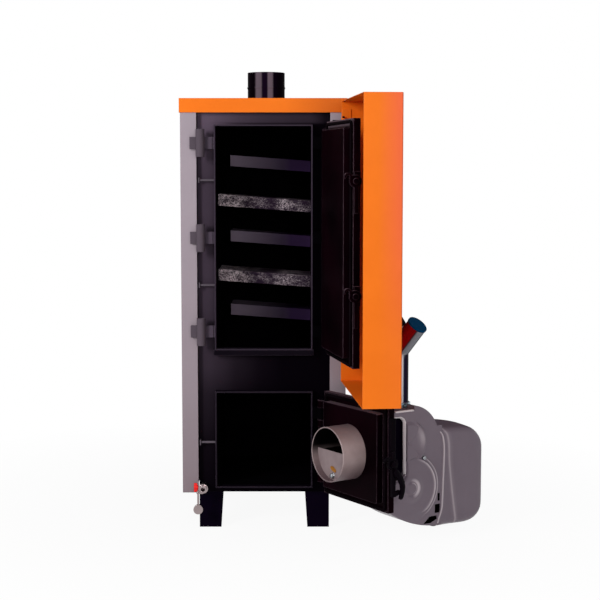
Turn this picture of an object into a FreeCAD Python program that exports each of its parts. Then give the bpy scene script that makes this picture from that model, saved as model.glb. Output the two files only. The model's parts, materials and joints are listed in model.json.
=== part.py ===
import FreeCAD, Part
import math
import os

from FreeCAD import Vector

# Pellet boiler with three open doors and a burner on the lower one.
# Millimetres. X to the viewer's right, front towards -Y, Z up, floor at z = 0.

# driving sizes of the jacket
jacket_width = 620.0
jacket_depth = 720.0
jacket_bottom = 140.0
lid_top = 1632.0
lid_lip = 53.0
lid_over = 4.0
lid_round = 3.0
sheet = 1.5
flange_gap = 2.0
flange_return = 16.0
rear_fold = 25.0
rear_margin = 6.0
screw_end = 60.0
screw_in = 12.5
screw_r = 5.0
screw_tall = 2.6
wool_front = 20.0

# driving sizes of the water vessel
wool_side = 62.0
wool_top = 52.0
wool_rear = 95.0
vessel_front = 25.0
vessel_drop = 2.0
plate = 6.0
shell_plate = 5.0
water_gap = 60.0
leg_wide = 92.0
leg_narrow = 83.0
leg_web = 90.0

# water shelves across the passes and the plate over the fire
front_shelf_drops = [296.0, 586.0]
rear_shelf_drops = [141.0, 442.0, 739.0]
shelf_tall = 44.0
shelf_wall = 5.0
shelf_angle = 4.2
front_shelf_back = 145.0
front_shelf_deep = 230.0
rear_shelf_back = 355.0
rear_shelf_side = 37.0
throat_rise = 69.0
throat_back = 136.0

# door openings, their collars and the doors
collar_side = 64.0
collar_wall = 5.0
collar_reach = 10.0
upper_low = 689.0
upper_drop = 46.0
lower_rise = 22.0
lower_high = 531.0
sill_tall = 20.0
sill_side = 4.0
tray_margin = 14.0
tray_over = 8.0
tray_depth = 25.0
tray_skin = 4.0
rope_gap = 10.0
rope_half = 6.0
liner_rise = 27.0
liner_skin = 3.0
liner_side = 19.0
liner_end = 24.0
liner_round = 6.0

# hinges and how far the doors stand open
hinge_side = 50.0
lower_hinge_side = 36.0
hinge_set = 5.0
lug_drops = [68.0, 421.0, 774.0]
lower_lug_half = 105.0
lug_tall = 45.0
lug_reach = 40.0
lug_front = 14.0
lug_back = 2.0
pin_r = 8.0
pin_head = 4.0
knuckle_r = 16.5
knuckle_tall = 28.0
knuckle_set = 9.0
inner_angle = 102.0
outer_angle = 95.0
lower_angle = 124.0

# latches and the rods that they hook over
rod_drops = [206.0, 600.0]
lower_rod_drop = 11.5
rod_r = 4.5
rod_y = 8.0
rod_foot = 4.0
rod_foot_half = 10.0
latch_set = 2.0
latch_angle = 30.0
latch_wide = 12.0
latch_side = 14.0
latch_hub_r = 22.0
hook_r = 14.0
hook_play = 0.8
lever_low = 12.0
lever_high = 6.0
lever_taper = 2.0
lever_long = 110.0
lower_lever_long = 118.0
lower_lever_up = 44.0
toe_long = 20.0
pivot_r = 6.0
pivot_head_r = 11.0
pivot_head = 6.0
bracket_wide = 12.0
bracket_half = 34.0
lower_bracket_up = 160.0

# outer cover and its hinges
cover_rise = 41.0
cover_drop = 12.0
cover_back = -16.0
cover_deep = 132.0
cover_round = 4.0
cover_pin_in = 12.0
cover_pin_y = -22.0
cover_pin_r = 4.0
cover_ear_r = 9.0
cover_ear_tall = 6.0
cover_top_pin = 70.0
cover_low_pin = 110.0
cover_arm = 40.0
cover_foot = 23.0
cover_tab = 30.0

# flue and water connections
flue_r = 75.0
flue_wall = 3.0
flue_rise = 125.0
flue_back = 145.0
flue_gap = 5.0
bead_drop = 64.0
bead_tall = 6.0
bead_out = 2.0
socket_r = 24.0
socket_reach = 20.0
thread_r = 19.5
thread_deep = 40.0
thread_step = 2.0
flow_drop = 100.0
return_rise = 112.0

# drain valve with its cap
drain_in = 19.0
drain_rise = 28.0
drain_bore_r = 8.0
drain_pipe_r = 13.0
valve_r = 16.0
valve_ring_r = 18.0
valve_ring = 8.0
valve_long = 42.0
valve_front = -50.0
valve_mid = -28.0
spout_r = 13.2
spout_long = 16.0
ball_r = 11.0
stem_r = 4.0
stem_long = 26.0
lever_hub_r = 8.5
lever_half = 17.0
lever_thick = 12.0
strap_in = 19.0
strap_drop = 15.0
strap_long = 64.0
strap_half = 3.5
strap_thick = 3.0
cap_r = 18.0
cap_wall = 4.0
cap_deep = 11.0

# burner tube, flange and fire pot
tube_r = 100.0
tube_wall = 4.0
tube_reach = 98.0
tube_gap = 1.0
burner_plate = 8.0
burner_plate_side = 27.0
burner_plate_low = 24.0
burner_plate_high = 48.0
burner_plate_round = 14.0
bolt_in = 13.0
bolt_end = 14.0
bolt_r = 8.0
moon_in = 26.0
moon_thick = 4.0
moon_rise = 8.0
moon_bolt_drop = 80.0
moon_bolt_r = 8.5
moon_bolt_tall = 9.0
pot_in = 14.0
pot_wall = 5.0
pot_hole_x = 34.0
pot_hole_r = 4.0
igniter_r = 8.0
igniter_drop = 54.0

# burner housing, fan and hood, measured out from the lower door
housing_half = 105.0
housing_wall = 4.0
upper_u = 145.0
upper_rise = 27.0
upper_r = 138.0
neck_far = 110.0
neck_low = 105.5
neck_high = 146.5
box_low = 83.0
box_high = 78.5
casing_right = 30.0
casing_near_drop = 185.5
casing_mid_u = 147.0
casing_mid_drop = 271.5
casing_far_drop = 298.5
casing_top_drop = 45.5
notch_far = 165.0
notch_side = 62.0
notch_end = 48.0
recess_far = 127.0
recess_low = 105.5
recess_high = 128.5
recess_deep = 22.0
recess_round = 30.0
side_plate = 4.0
boss_u = 140.0
boss_r = 82.0
boss_end_r = 70.0
boss_out = 9.0
boss_drop = 3.0
fan_u = 170.0
fan_drop = 137.5
fan_cover_r = 108.0
fan_cover_step_r = 98.0
fan_cover_edge = 6.0
fan_cover_out = 13.0
fan_cap_r = 24.0
fan_cap_out = 18.0
fan_r = 86.0
fan_inner_r = 52.0
fan_hub_r = 14.0
fan_shaft_r = 5.0
fan_long = 61.0
fan_inlet_r = 45.0
motor_r = 38.0
motor_long = 62.0
hood_wall = 3.0
hood_near = 298.0
hood_far = 507.0
hood_low = 300.5
hood_high = 80.5
hood_end_low = 302.5
hood_end_high = 45.5
hood_low_round = 75.0
hood_high_round = 76.0
hood_rim_round = 30.0
unit_half = 70.0
unit_deep = 42.0
unit_low = 195.5
unit_high = 55.5

# feed fitting on the burner
feed_r = 37.5
feed_wall = 2.0
feed_u = 172.0
feed_seat = 30.0
sleeve_wall = 3.5
sleeve_up = 17.0
sleeve_down = 34.0
clamp_wall = 4.0
clamp_tall = 15.0
clamp_ear = 22.0
clamp_ear_half = 8.0
clamp_bolt_r = 3.0
branch_rise = 209.0
branch_long = 128.0
branch_lean = 40.0
branch_turn = 74.0
main_rise = 303.0
inlet_rim = 1.5
inlet_thick = 7.0
inlet_deep = 13.0
plug_tall = 42.0
plug_top_r = 6.0

# clearances
seat = 0.3
run = 0.15
weld = 0.05
wool_gap = 0.5
end_gap = 0.5

# sizes worked out from the ones above
half = jacket_width / 2
front = -jacket_depth / 2
vw = half - wool_side
vf = vessel_front
vb = jacket_depth - wool_rear
vessel_bottom = jacket_bottom - vessel_drop
vessel_top = lid_top - wool_top
cw = vw - collar_side
ci = cw - collar_wall
upper_high = vessel_top - upper_drop
lower_low = vessel_bottom + lower_rise
chamber_back = vb - water_gap
chamber_low = lower_low + collar_wall
chamber_high = upper_high - collar_wall
tray_half = cw + tray_margin
tray_in = -collar_reach - rope_gap
tray_out = tray_in - tray_depth
hinge_x = cw + hinge_side
lower_hinge_x = cw + lower_hinge_side
hinge_y = tray_in - hinge_set
latch_y = tray_in - latch_set
tube_z = (lower_low + lower_high) / 2
lug_heights = [upper_high - drop for drop in lug_drops]
lower_lug_heights = [tube_z + lower_lug_half, tube_z - lower_lug_half]
rod_heights = [upper_high - drop for drop in rod_drops]
lower_rod = tube_z - lower_rod_drop
cover_low = lower_high + cover_rise
cover_high = lid_top - cover_drop
cover_pin_x = half - cover_pin_in
flue_top = lid_top + flue_rise
flue_y = vb - flue_back
flow_z = vessel_top - flow_drop
return_z = vessel_bottom + return_rise
drain_x = -vw + drain_in
drain_z = vessel_bottom + drain_rise

os.makedirs("parts", exist_ok=True)


def box(x0, x1, y0, y1, z0, z1):
    """A block between the given limits, y measured back from the jacket front."""
    return Part.makeBox(x1 - x0, y1 - y0, z1 - z0, Vector(x0, front + y0, z0))


def cyl_x(x0, x1, y, z, r):
    return Part.makeCylinder(r, x1 - x0, Vector(x0, front + y, z), Vector(1, 0, 0))


def cyl_y(y0, y1, x, z, r):
    return Part.makeCylinder(r, y1 - y0, Vector(x, front + y0, z), Vector(0, 1, 0))


def cyl_z(z0, z1, x, y, r):
    return Part.makeCylinder(r, z1 - z0, Vector(x, front + y, z0), Vector(0, 0, 1))


def prism_x(x0, x1, outline):
    """A flat outline of (y, z) corners drawn out from x0 to x1."""
    pts = [Vector(x0, front + y, z) for y, z in outline]
    face = Part.Face(Part.makePolygon(pts + [pts[0]]))
    return face.extrude(Vector(x1 - x0, 0, 0))


def prism_z(z0, z1, outline):
    """A flat outline of (x, y) corners drawn up from z0 to z1."""
    pts = [Vector(x, front + y, z0) for x, y in outline]
    face = Part.Face(Part.makePolygon(pts + [pts[0]]))
    return face.extrude(Vector(0, 0, z1 - z0))


def fuse(shapes):
    whole = shapes[0]
    for other in shapes[1:]:
        whole = whole.fuse(other)
    return whole.removeSplitter()


def cut(shape, tools):
    for tool in tools:
        shape = shape.cut(tool)
    return shape


def swing(shape, x, y, angle):
    """Turns a shape about an upright line, the way a door opens."""
    turned = shape.copy()
    turned.rotate(Vector(x, front + y, 0), Vector(0, 0, 1), angle)
    return turned


def save(name, shapes):
    """Writes one node, a single solid or a group of solids."""
    if not isinstance(shapes, list):
        shapes = [shapes]
    solids = []
    for shape in shapes:
        solids.extend(shape.Solids)
    whole = solids[0] if len(solids) == 1 else Part.makeCompound(solids)
    whole.exportStep("parts/" + name + ".step")


def save_inner(name, shapes):
    save(name, [swing(s, hinge_x, hinge_y, inner_angle) for s in shapes])


def save_outer(name, shapes):
    save(name, [swing(s, cover_pin_x, cover_pin_y, outer_angle) for s in shapes])


def save_lower(name, shapes):
    save(name, [swing(s, lower_hinge_x, hinge_y, lower_angle) for s in shapes])


# water vessel

def front_plate():
    body = box(-vw, vw, vf, vf + plate, vessel_bottom, vessel_top)
    upper = box(-ci, ci, vf - 1, vf + plate + 1, upper_low + collar_wall, upper_high - collar_wall)
    lower = box(-ci, ci, vf - 1, vf + plate + 1, lower_low + collar_wall, lower_high - collar_wall)
    drain = cyl_y(vf - 1, vf + plate + 1, drain_x, drain_z, drain_bore_r)
    return cut(body, [upper, lower, drain])


def outer_shell():
    """Five welded plates behind the front plate."""
    y0 = vf + plate
    side = shell_plate
    left = box(-vw, -vw + side, y0, vb, vessel_bottom, vessel_top)
    right = box(vw - side, vw, y0, vb, vessel_bottom, vessel_top)
    base = box(-vw + side, vw - side, y0, vb, vessel_bottom, vessel_bottom + side)
    roof = box(-vw + side, vw - side, y0, vb, vessel_top - side, vessel_top)
    roof = roof.cut(cyl_z(vessel_top - side - 1, vessel_top + 1, 0, flue_y, flue_r + weld))
    back = box(-vw + side, vw - side, vb - side, vb, vessel_bottom + side, vessel_top - side)
    for z in (flow_z, return_z):
        back = back.cut(cyl_y(vb - side - 1, vb + 1, 0, z, socket_r + weld))
    return [left, right, base, roof, back]


def firebox():
    """Side, rear, roof and floor plates round the fire and the passes above it."""
    y0 = vf + plate
    outer = ci + plate
    left = box(-outer, -ci, y0, chamber_back, chamber_low - plate, chamber_high + plate)
    right = box(ci, outer, y0, chamber_back, chamber_low - plate, chamber_high + plate)
    back = box(-ci, ci, chamber_back - plate, chamber_back, chamber_low, chamber_high)
    base = box(-ci, ci, y0, chamber_back, chamber_low - plate, chamber_low)
    roof = box(-ci, ci, y0, chamber_back, chamber_high, chamber_high + plate)
    roof = roof.cut(cyl_z(chamber_high - 1, chamber_high + plate + 1, 0, flue_y, flue_r + weld))
    return [left, right, back, base, roof]


def throat():
    z = lower_high + throat_rise
    return box(-ci, ci, vf + plate, chamber_back - throat_back, z, z + plate)


def shelf(x0, x1, y0, y1, z):
    """A flat water pocket sloping down to the right, open into the side jackets."""
    long = 2 * ci
    block = Part.makeBox(2 * long, y1 - y0, shelf_tall, Vector(-long, front + y0, z - shelf_tall / 2))
    hollow_y = y1 - y0 - 2 * shelf_wall
    hollow_z = shelf_tall - 2 * shelf_wall
    corner = Vector(-long, front + y0 + shelf_wall, z - hollow_z / 2)
    hollow = Part.makeBox(2 * long, hollow_y, hollow_z, corner)
    for piece in (block, hollow):
        piece.rotate(Vector(0, front, z), Vector(0, 1, 0), shelf_angle)
    limit = box(x0, x1, y0 - 1, y1 + 1, z - ci, z + ci)
    end = box(-ci - 1, x0 + shelf_wall, y0 - 1, y1 + 1, z - ci, z + ci)
    if x0 > -ci:
        hollow = hollow.cut(end)
    return block.common(limit).cut(hollow)


def shelves():
    y_front = vf + front_shelf_back
    y_rear = vf + rear_shelf_back
    rear_end = chamber_back - plate
    x_rear = -ci + rear_shelf_side
    front_ones = []
    for drop in front_shelf_drops:
        front_ones.append(shelf(-ci, ci, y_front, y_front + front_shelf_deep, upper_high - drop))
    rear_ones = []
    for drop in rear_shelf_drops:
        rear_ones.append(shelf(x_rear, ci, y_rear, rear_end, upper_high - drop))
    return front_ones, rear_ones


def collar(low, high):
    outer = box(-cw, cw, -collar_reach, vf, low, high)
    inner = box(-ci, ci, -collar_reach - 1, vf + 1, low + collar_wall, high - collar_wall)
    return outer.cut(inner)


def sill():
    return box(-cw - sill_side, cw + sill_side, -collar_reach + 1, vf, upper_low - sill_tall, upper_low)


def flue():
    pipe = cyl_z(chamber_high, flue_top, 0, flue_y, flue_r)
    bead_z = flue_top - bead_drop
    bead = cyl_z(bead_z, bead_z + bead_tall, 0, flue_y, flue_r + bead_out)
    bore = cyl_z(chamber_high - 1, flue_top + 1, 0, flue_y, flue_r - flue_wall)
    return fuse([pipe, bead]).cut(bore)


def socket(z):
    """A welded threaded socket that reaches through the rear of the jacket."""
    end = jacket_depth + socket_reach
    body = cyl_y(vb - shell_plate, end, 0, z, socket_r)
    way = cyl_y(vb - shell_plate - 1, end + 1, 0, z, thread_r - thread_step)
    thread = cyl_y(end - thread_deep, end + 1, 0, z, thread_r)
    return cut(body, [way, thread])


def leg(side, rear):
    """An angle leg, its front plate tapering towards the floor."""
    y0 = vb - plate if rear else vf
    y1 = y0 + plate
    x = side * vw
    pts = [(x, 0), (x - side * leg_narrow, 0), (x - side * leg_wide, vessel_bottom), (x, vessel_bottom)]
    face = Part.Face(Part.makePolygon([Vector(a, front + y0, b) for a, b in pts + [pts[0]]]))
    wide = face.extrude(Vector(0, plate, 0))
    z0 = 0.0
    if rear:
        web = box(min(x, x - side * plate), max(x, x - side * plate), y1 - leg_web, y1, z0, vessel_bottom)
    else:
        web = box(min(x, x - side * plate), max(x, x - side * plate), y0, y0 + leg_web, z0, vessel_bottom)
    return fuse([wide, web])


# jacket

panel_top = lid_top - sheet - seat
rear_in = jacket_depth - sheet - seat


def side_panel(side):
    """A folded side sheet with a broad front flange and narrow returns."""
    def strip(a, b, y0, y1, z0, z1):
        return box(min(side * a, side * b), max(side * a, side * b), y0, y1, z0, z1)
    edge = vw + flange_gap
    wall = strip(half - sheet, half, 0, jacket_depth, jacket_bottom, panel_top)
    face = strip(edge, half, 0, sheet, jacket_bottom, panel_top)
    lip = strip(edge, edge + sheet, 0, flange_return, jacket_bottom, panel_top)
    rear = strip(half - rear_fold, half, jacket_depth - sheet, jacket_depth, jacket_bottom, panel_top)
    return fuse([wall, face, lip, rear])


def rear_panel():
    y1 = rear_in
    sheet_body = box(-half + rear_margin, half - rear_margin, y1 - sheet, y1, jacket_bottom, panel_top)
    holes = [cyl_y(y1 - sheet - 1, y1 + 1, 0, z, socket_r + 1.0) for z in (flow_z, return_z)]
    return cut(sheet_body, holes)


def lid():
    over = lid_over
    outer = box(-half - over, half + over, -over, jacket_depth + over, lid_top - lid_lip, lid_top)
    inner = box(-half - over + sheet, half + over - sheet, -over + sheet, jacket_depth + over - sheet,
                lid_top - lid_lip - 1, lid_top - sheet)
    vertical = [e for e in outer.Edges if abs(e.tangentAt(e.FirstParameter).z) > 0.99]
    outer = outer.makeFillet(lid_round, vertical)
    hole = cyl_z(lid_top - sheet - 1, lid_top + 1, 0, flue_y, flue_r + flue_gap)
    return cut(outer, [inner, hole])


def wool():
    y0 = wool_front
    y1 = rear_in - sheet - seat
    gap = wool_gap
    z0 = jacket_bottom + plate
    left = box(-half + sheet + gap, -vw - gap, y0, y1, z0, panel_top - gap)
    right = box(vw + gap, half - sheet - gap, y0, y1, z0, panel_top - gap)
    top = box(-vw, vw, vf, vb, vessel_top + gap, panel_top - gap)
    top = top.cut(cyl_z(vessel_top, lid_top, 0, flue_y, flue_r + gap))
    rear = box(-vw, vw, vb + gap, y1, z0, panel_top - gap)
    for z in (flow_z, return_z):
        rear = rear.cut(cyl_y(vb, y1 + 1, 0, z, socket_r + gap))
    return [left, right, top, rear]


def rear_screws():
    """Round heads that hold the rear sheet to the folded sides."""
    heads = []
    z0 = jacket_bottom + screw_end
    step = (panel_top - screw_end - z0) / 4
    for side in (-1, 1):
        for i in range(5):
            x = side * (half - screw_in)
            heads.append(cyl_y(jacket_depth, jacket_depth + screw_tall, x, z0 + i * step, screw_r))
    return heads


# hinges on the vessel

def lug(side, x, z, tall):
    """A flat bar welded to the collar with an upright bush on its front."""
    end = abs(x) + lug_reach
    low = z - lug_tall / 2
    x0, x1 = min(side * cw, side * end), max(side * cw, side * end)
    bar = box(x0, x1, -lug_front, -lug_back, low, low + lug_tall)
    near, far = side * (cw - 1), side * (cw + rope_half)
    y0, y1 = -lug_front - 1, -collar_reach + end_gap
    bar = bar.cut(box(min(near, far), max(near, far), y0, y1, low - 1, low + lug_tall + 1))
    bush = cyl_z(z - tall / 2, z + tall / 2, side * abs(x), hinge_y, knuckle_r)
    bore = cyl_z(z - tall / 2 - 1, z + tall / 2 + 1, side * abs(x), hinge_y, pin_r + weld)
    return fuse([bar, bush]).cut(bore)


def hinge_pin(x, z):
    reach = lug_tall / 2 + knuckle_tall + 2 * end_gap
    shaft = cyl_z(z - reach - pin_head / 2, z + reach, x, hinge_y, pin_r)
    head = cyl_z(z + reach, z + reach + pin_head, x, hinge_y, pin_r + pin_head)
    return fuse([shaft, head])


def knuckles(x, z):
    """Two door ears, one above and one below a lug."""
    ears = []
    for side in (-1, 1):
        near = z + side * (lug_tall / 2 + end_gap)
        far = near + side * knuckle_tall
        z0, z1 = min(near, far), max(near, far)
        ring = cyl_z(z0, z1, x, hinge_y, knuckle_r)
        arm = box(tray_half, x, tray_out + knuckle_set, tray_in, z0, z1)
        bore = cyl_z(z0 - 1, z1 + 1, x, hinge_y, pin_r + run)
        ears.append(fuse([ring, arm]).cut(bore))
    return ears


def keeper(z):
    """A thin rod across the recess that a door latch hooks over."""
    x0 = -vw + rod_foot
    rod = cyl_x(x0 + rod_foot, -cw, rod_y, z, rod_r)
    foot = box(x0, x0 + rod_foot, rod_y - rod_foot_half, vf, z - rod_foot_half, z + rod_foot_half)
    return fuse([rod, foot])


# door leaves, built shut and then swung open

def tray(low, high, hole):
    """A folded steel pan that is the outside of an insulated door."""
    z0 = low - tray_over
    z1 = high + tray_over
    skin = tray_skin
    outer = box(-tray_half, tray_half, tray_out, tray_in, z0, z1)
    inner = box(-tray_half + skin, tray_half - skin, tray_out + skin, tray_in + 1, z0 + skin, z1 - skin)
    outer = outer.cut(inner)
    if hole:
        outer = outer.cut(cyl_y(tray_out - 1, tray_in, 0, tube_z, tube_r + tube_gap))
    return outer


def liner_rise_limits(low, high):
    return low + liner_end, high - liner_end


liner_half = cw - liner_side


def liner(low, high, hole):
    """The pressed inner skin with a raised middle that enters the collar."""
    skin = liner_skin
    z0 = low - tray_over + tray_skin + seat
    z1 = high + tray_over - tray_skin - seat
    x = tray_half - tray_skin - seat
    r0, r1 = liner_rise_limits(low, high)
    top = tray_in + liner_rise
    base = box(-x, x, tray_in - skin, tray_in, z0, z1)
    bump = box(-liner_half, liner_half, tray_in - skin, top, r0, r1)
    upright = [e for e in bump.Edges if abs(e.tangentAt(e.FirstParameter).y) > 0.99]
    bump = bump.makeFillet(liner_round, upright)
    room = box(-liner_half + skin, liner_half - skin, tray_in - skin - 1, top - skin, r0 + skin, r1 - skin)
    body = fuse([base, bump]).cut(room)
    if hole:
        body = body.cut(cyl_y(tray_in - tray_depth, top + 1, 0, tube_z, tube_r + tube_gap))
    return body


def door_wool(low, high, hole):
    z0 = low - tray_over + tray_skin + seat
    z1 = high + tray_over - tray_skin - seat
    x = tray_half - tray_skin - seat
    r0, r1 = liner_rise_limits(low, high)
    inset = liner_skin + seat
    slab = box(-x, x, tray_out + tray_skin + seat, tray_in - inset, z0, z1)
    block = box(-liner_half + inset, liner_half - inset, tray_out + tray_skin + seat,
                tray_in + liner_rise - inset, r0 + inset, r1 - inset)
    body = fuse([slab, block])
    if hole:
        body = body.cut(cyl_y(tray_out, tray_in + liner_rise, 0, tube_z, tube_r + tube_gap))
    return body


def rope(low, high):
    """The sealing rope that meets the front edge of the collar."""
    mid = collar_wall / 2
    wide = rope_half
    y0 = tray_in
    y1 = -collar_reach - seat
    outer = box(-cw + mid - wide, cw - mid + wide, y0, y1, low + mid - wide, high - mid + wide)
    inner = box(-cw + mid + wide, cw - mid - wide, y0 - 1, y1 + 1, low + mid + wide, high - mid - wide)
    return outer.cut(inner)


# latches: a hook that drops over the keeper rod, with a pull lever

latch_x1 = -tray_half - latch_side
latch_x0 = latch_x1 - latch_wide


def latch(z, down, up, foot):
    """Hook and lever in the released position, the lever hanging straight down."""
    reach = rod_y - latch_y
    slot = rod_r + hook_play
    hub = cyl_x(latch_x0, latch_x1, latch_y, z, latch_hub_r)
    claw = cyl_x(latch_x0, latch_x1, rod_y, z, hook_r)
    bridge = box(latch_x0, latch_x1, latch_y, rod_y - slot, z - 2.0, z + hook_r - 2.0)
    mouth = box(latch_x0 - 1, latch_x1 + 1, rod_y - slot, rod_y + slot, z - 40.0, z)
    under = box(latch_x0 - 1, latch_x1 + 1, rod_y - hook_r - 1, rod_y, z - 40.0, z - 2.0)
    tip = box(latch_x0 - 1, latch_x1 + 1, rod_y, rod_y + 40.0, z - 40.0, z - 11.0)
    eye = cyl_x(latch_x0 - 1, latch_x1 + 1, rod_y, z, slot)
    claw = cut(claw, [mouth, under, tip])
    hook = fuse([claw, bridge]).cut(eye)
    hook.rotate(Vector(0, front + latch_y, z), Vector(1, 0, 0), latch_angle)
    low_y = latch_y - lever_low
    high_y = latch_y + lever_high
    thin = lever_taper
    bar = [(low_y, z), (low_y + thin, z - down), (high_y - thin, z - down), (high_y, z)]
    lever = prism_x(latch_x0, latch_x1, bar)
    pieces = [hub, hook, lever]
    if up:
        top = [(low_y + thin, z), (high_y, z), (high_y - 2 * thin, z + up), (low_y + 2 * thin, z + up)]
        pieces.append(prism_x(latch_x0, latch_x1, top))
    if foot:
        near = low_y + thin
        far = near - toe_long
        end = z - down
        toe = [(near, end), (far, end + 4 * thin), (far, end + 11 * thin), (near, end + 8 * thin)]
        pieces.append(prism_x(latch_x0, latch_x1, toe))
    bore = cyl_x(latch_x0 - 1, latch_x1 + 1, latch_y, z, pivot_r + run)
    return fuse(pieces).cut(bore)


def latch_bracket(z, up, down):
    """A block on the free edge of a door that carries the latch pivot."""
    x1 = -tray_half
    gap = latch_side - bracket_wide
    block = box(x1 - bracket_wide, x1, tray_out + gap, tray_in, z - down, z + up)
    shaft = cyl_x(latch_x0 - gap - 1, x1 - bracket_wide + 1, latch_y, z, pivot_r)
    head = cyl_x(latch_x0 - gap - pivot_head, latch_x0 - gap, latch_y, z, pivot_head_r)
    return fuse([block, shaft, head])


# outer cover

def cover_pins_z():
    return [cover_high - cover_top_pin, cover_low + cover_low_pin]


def cover():
    y0 = cover_back - cover_deep
    outer = box(-half, half, y0, cover_back, cover_low, cover_high)
    edges = [e for e in outer.Edges if abs(e.CenterOfMass.y - (front + y0)) < 0.01]
    outer = outer.makeFillet(cover_round, edges)
    x1 = half - sheet
    inner = box(-x1, x1, y0 + sheet, cover_back + 1, cover_low + sheet, cover_high - sheet)
    notches = []
    for z in cover_pins_z():
        y1 = cover_pin_y - cover_ear_r - cover_pin_r
        z0, z1 = z - cover_ear_tall, z + end_gap
        notches.append(box(half - 2 * sheet, half + 1, y1, cover_back + 1, z0, z1))
    return cut(outer, [inner] + notches)


def cover_bracket(z):
    """A plate with an upright pin, fixed to the front of the jacket."""
    x0 = cover_pin_x - cover_arm
    thick = cover_pin_r
    r = cover_ear_r
    foot = box(x0, x0 + cover_foot, -thick, 0, z - 2 * r, z - thick / 2)
    arm = box(x0, cover_pin_x + r, cover_pin_y - r, 0, z - thick, z)
    pin = cyl_z(z - 1.0, z + 2 * cover_ear_tall + 2, cover_pin_x, cover_pin_y, cover_pin_r)
    return fuse([foot, arm, pin])


def cover_ear(z):
    """The ear of the cover that sits on the bracket pin."""
    z0 = z + end_gap
    z1 = z0 + cover_ear_tall
    r = cover_ear_r
    y1 = cover_pin_y + cover_pin_r
    x1 = half - sheet
    ring = cyl_z(z0, z1, cover_pin_x, cover_pin_y, r)
    arm = box(cover_pin_x, x1, cover_pin_y - r, y1, z0, z1)
    tab = box(x1 - 2 * sheet, x1, cover_pin_y - cover_tab, y1, z1, z + cover_arm)
    bore = cyl_z(z0 - 1, z1 + 1, cover_pin_x, cover_pin_y, cover_pin_r + run)
    return fuse([ring, arm, tab]).cut(bore)


# drain valve

valve_y0 = valve_front
strap_x = drain_x - strap_in
strap_z = drain_z - strap_drop


def drain_body():
    valve_y1 = valve_y0 + valve_long
    pipe = cyl_y(valve_y1 - 2.0, vf, drain_x, drain_z, drain_pipe_r)
    body = cyl_y(valve_y0, valve_y1, drain_x, drain_z, valve_r)
    ring = cyl_y(valve_y0, valve_y0 + valve_ring, drain_x, drain_z, valve_ring_r)
    spout = cyl_y(valve_y0 - spout_long, valve_y0 + 1, drain_x, drain_z, spout_r)
    thick = strap_half + 1.5
    ear_x = strap_x - strap_half - 0.5
    ear = box(ear_x, drain_x, valve_y0, valve_y0 + thick, strap_z - thick, strap_z + thick)
    peg = cyl_y(valve_y0 - strap_thick - stem_r, valve_y0 + 1, strap_x, strap_z, strap_half - 1.0)
    body = fuse([pipe, body, ring, spout, ear, peg])
    bore = cyl_y(valve_y0 - spout_long - 1, vf + 1, drain_x, drain_z, drain_bore_r)
    ball = Part.makeSphere(ball_r + seat, Vector(drain_x, front + valve_mid, drain_z))
    stem = cyl_x(drain_x - valve_ring_r - 2, drain_x, valve_mid, drain_z, stem_r + run)
    return cut(body, [bore, ball, stem])


def drain_ball():
    """Ball with its stem, shut across the bore."""
    ball = Part.makeSphere(ball_r, Vector(drain_x, front + valve_mid, drain_z))
    stem = cyl_x(drain_x - stem_long, drain_x, valve_mid, drain_z, stem_r)
    way = cyl_z(drain_z - 2 * ball_r, drain_z + 2 * ball_r, drain_x, valve_mid, drain_bore_r - end_gap)
    return fuse([ball, stem]).cut(way)


def drain_lever():
    x1 = drain_x - stem_long + 2.0
    x0 = x1 - lever_thick
    wide = lever_hub_r - 1.5
    hub = cyl_x(x0, x1 + stem_r, valve_mid, drain_z, lever_hub_r)
    wing = box(x0, x1, valve_mid - wide, valve_mid + wide, drain_z - lever_half, drain_z + lever_half)
    along = [e for e in wing.Edges if abs(e.tangentAt(e.FirstParameter).x) > 0.99]
    wing = wing.makeFillet(wide - 2.0, along)
    bore = cyl_x(x0 + stem_r, x1 + stem_r + 1, valve_mid, drain_z, stem_r + weld)
    return fuse([hub, wing]).cut(bore)


def drain_cap():
    """Blanking cap hanging from the valve on its strap."""
    y1 = valve_y0 - end_gap
    y0 = y1 - strap_thick
    cap_z = strap_z - strap_long
    ring = cyl_y(y0, y1, strap_x, strap_z, strap_half + strap_thick)
    band = box(strap_x - strap_half, strap_x + strap_half, y0, y1, cap_z, strap_z)
    cap = cyl_y(y0 - strap_thick, y1 + cap_deep, strap_x, cap_z, cap_r)
    hollow = cyl_y(y1 - 1.0, y1 + cap_deep + 1, strap_x, cap_z, cap_r - cap_wall)
    body = fuse([ring, band, cap]).cut(hollow)
    return body.cut(cyl_y(y0 - 1, y1 + 1, strap_x, strap_z, strap_half - 1.0 + seat))


# burner, measured outwards from the outside of the lower door

def out(u):
    return tray_out - u


def ubox(x0, x1, u0, u1, z0, z1):
    return box(x0, x1, out(u1), out(u0), z0, z1)


upper_z = tube_z + upper_rise
fan_z = tube_z - fan_drop
feed_top = tube_z + neck_high
plate_half = housing_half + burner_plate_side
plate_z0 = tube_z - tube_r - burner_plate_low
plate_z1 = tube_z + tube_r + burner_plate_high


def recess(grow, x1):
    """The hollow in the left side of the housing, next to the flange."""
    z0, z1 = tube_z - recess_low - grow, tube_z + recess_high + grow
    body = ubox(-2 * housing_half, x1, -recess_far, recess_far + grow, z0, z1)
    far = [e for e in body.Edges if abs(e.tangentAt(e.FirstParameter).x) > 0.99
           and e.CenterOfMass.y < front + out(recess_far) + 1]
    return body.makeFillet(recess_round + grow, far)


recess_floor = -housing_half + recess_deep


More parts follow.
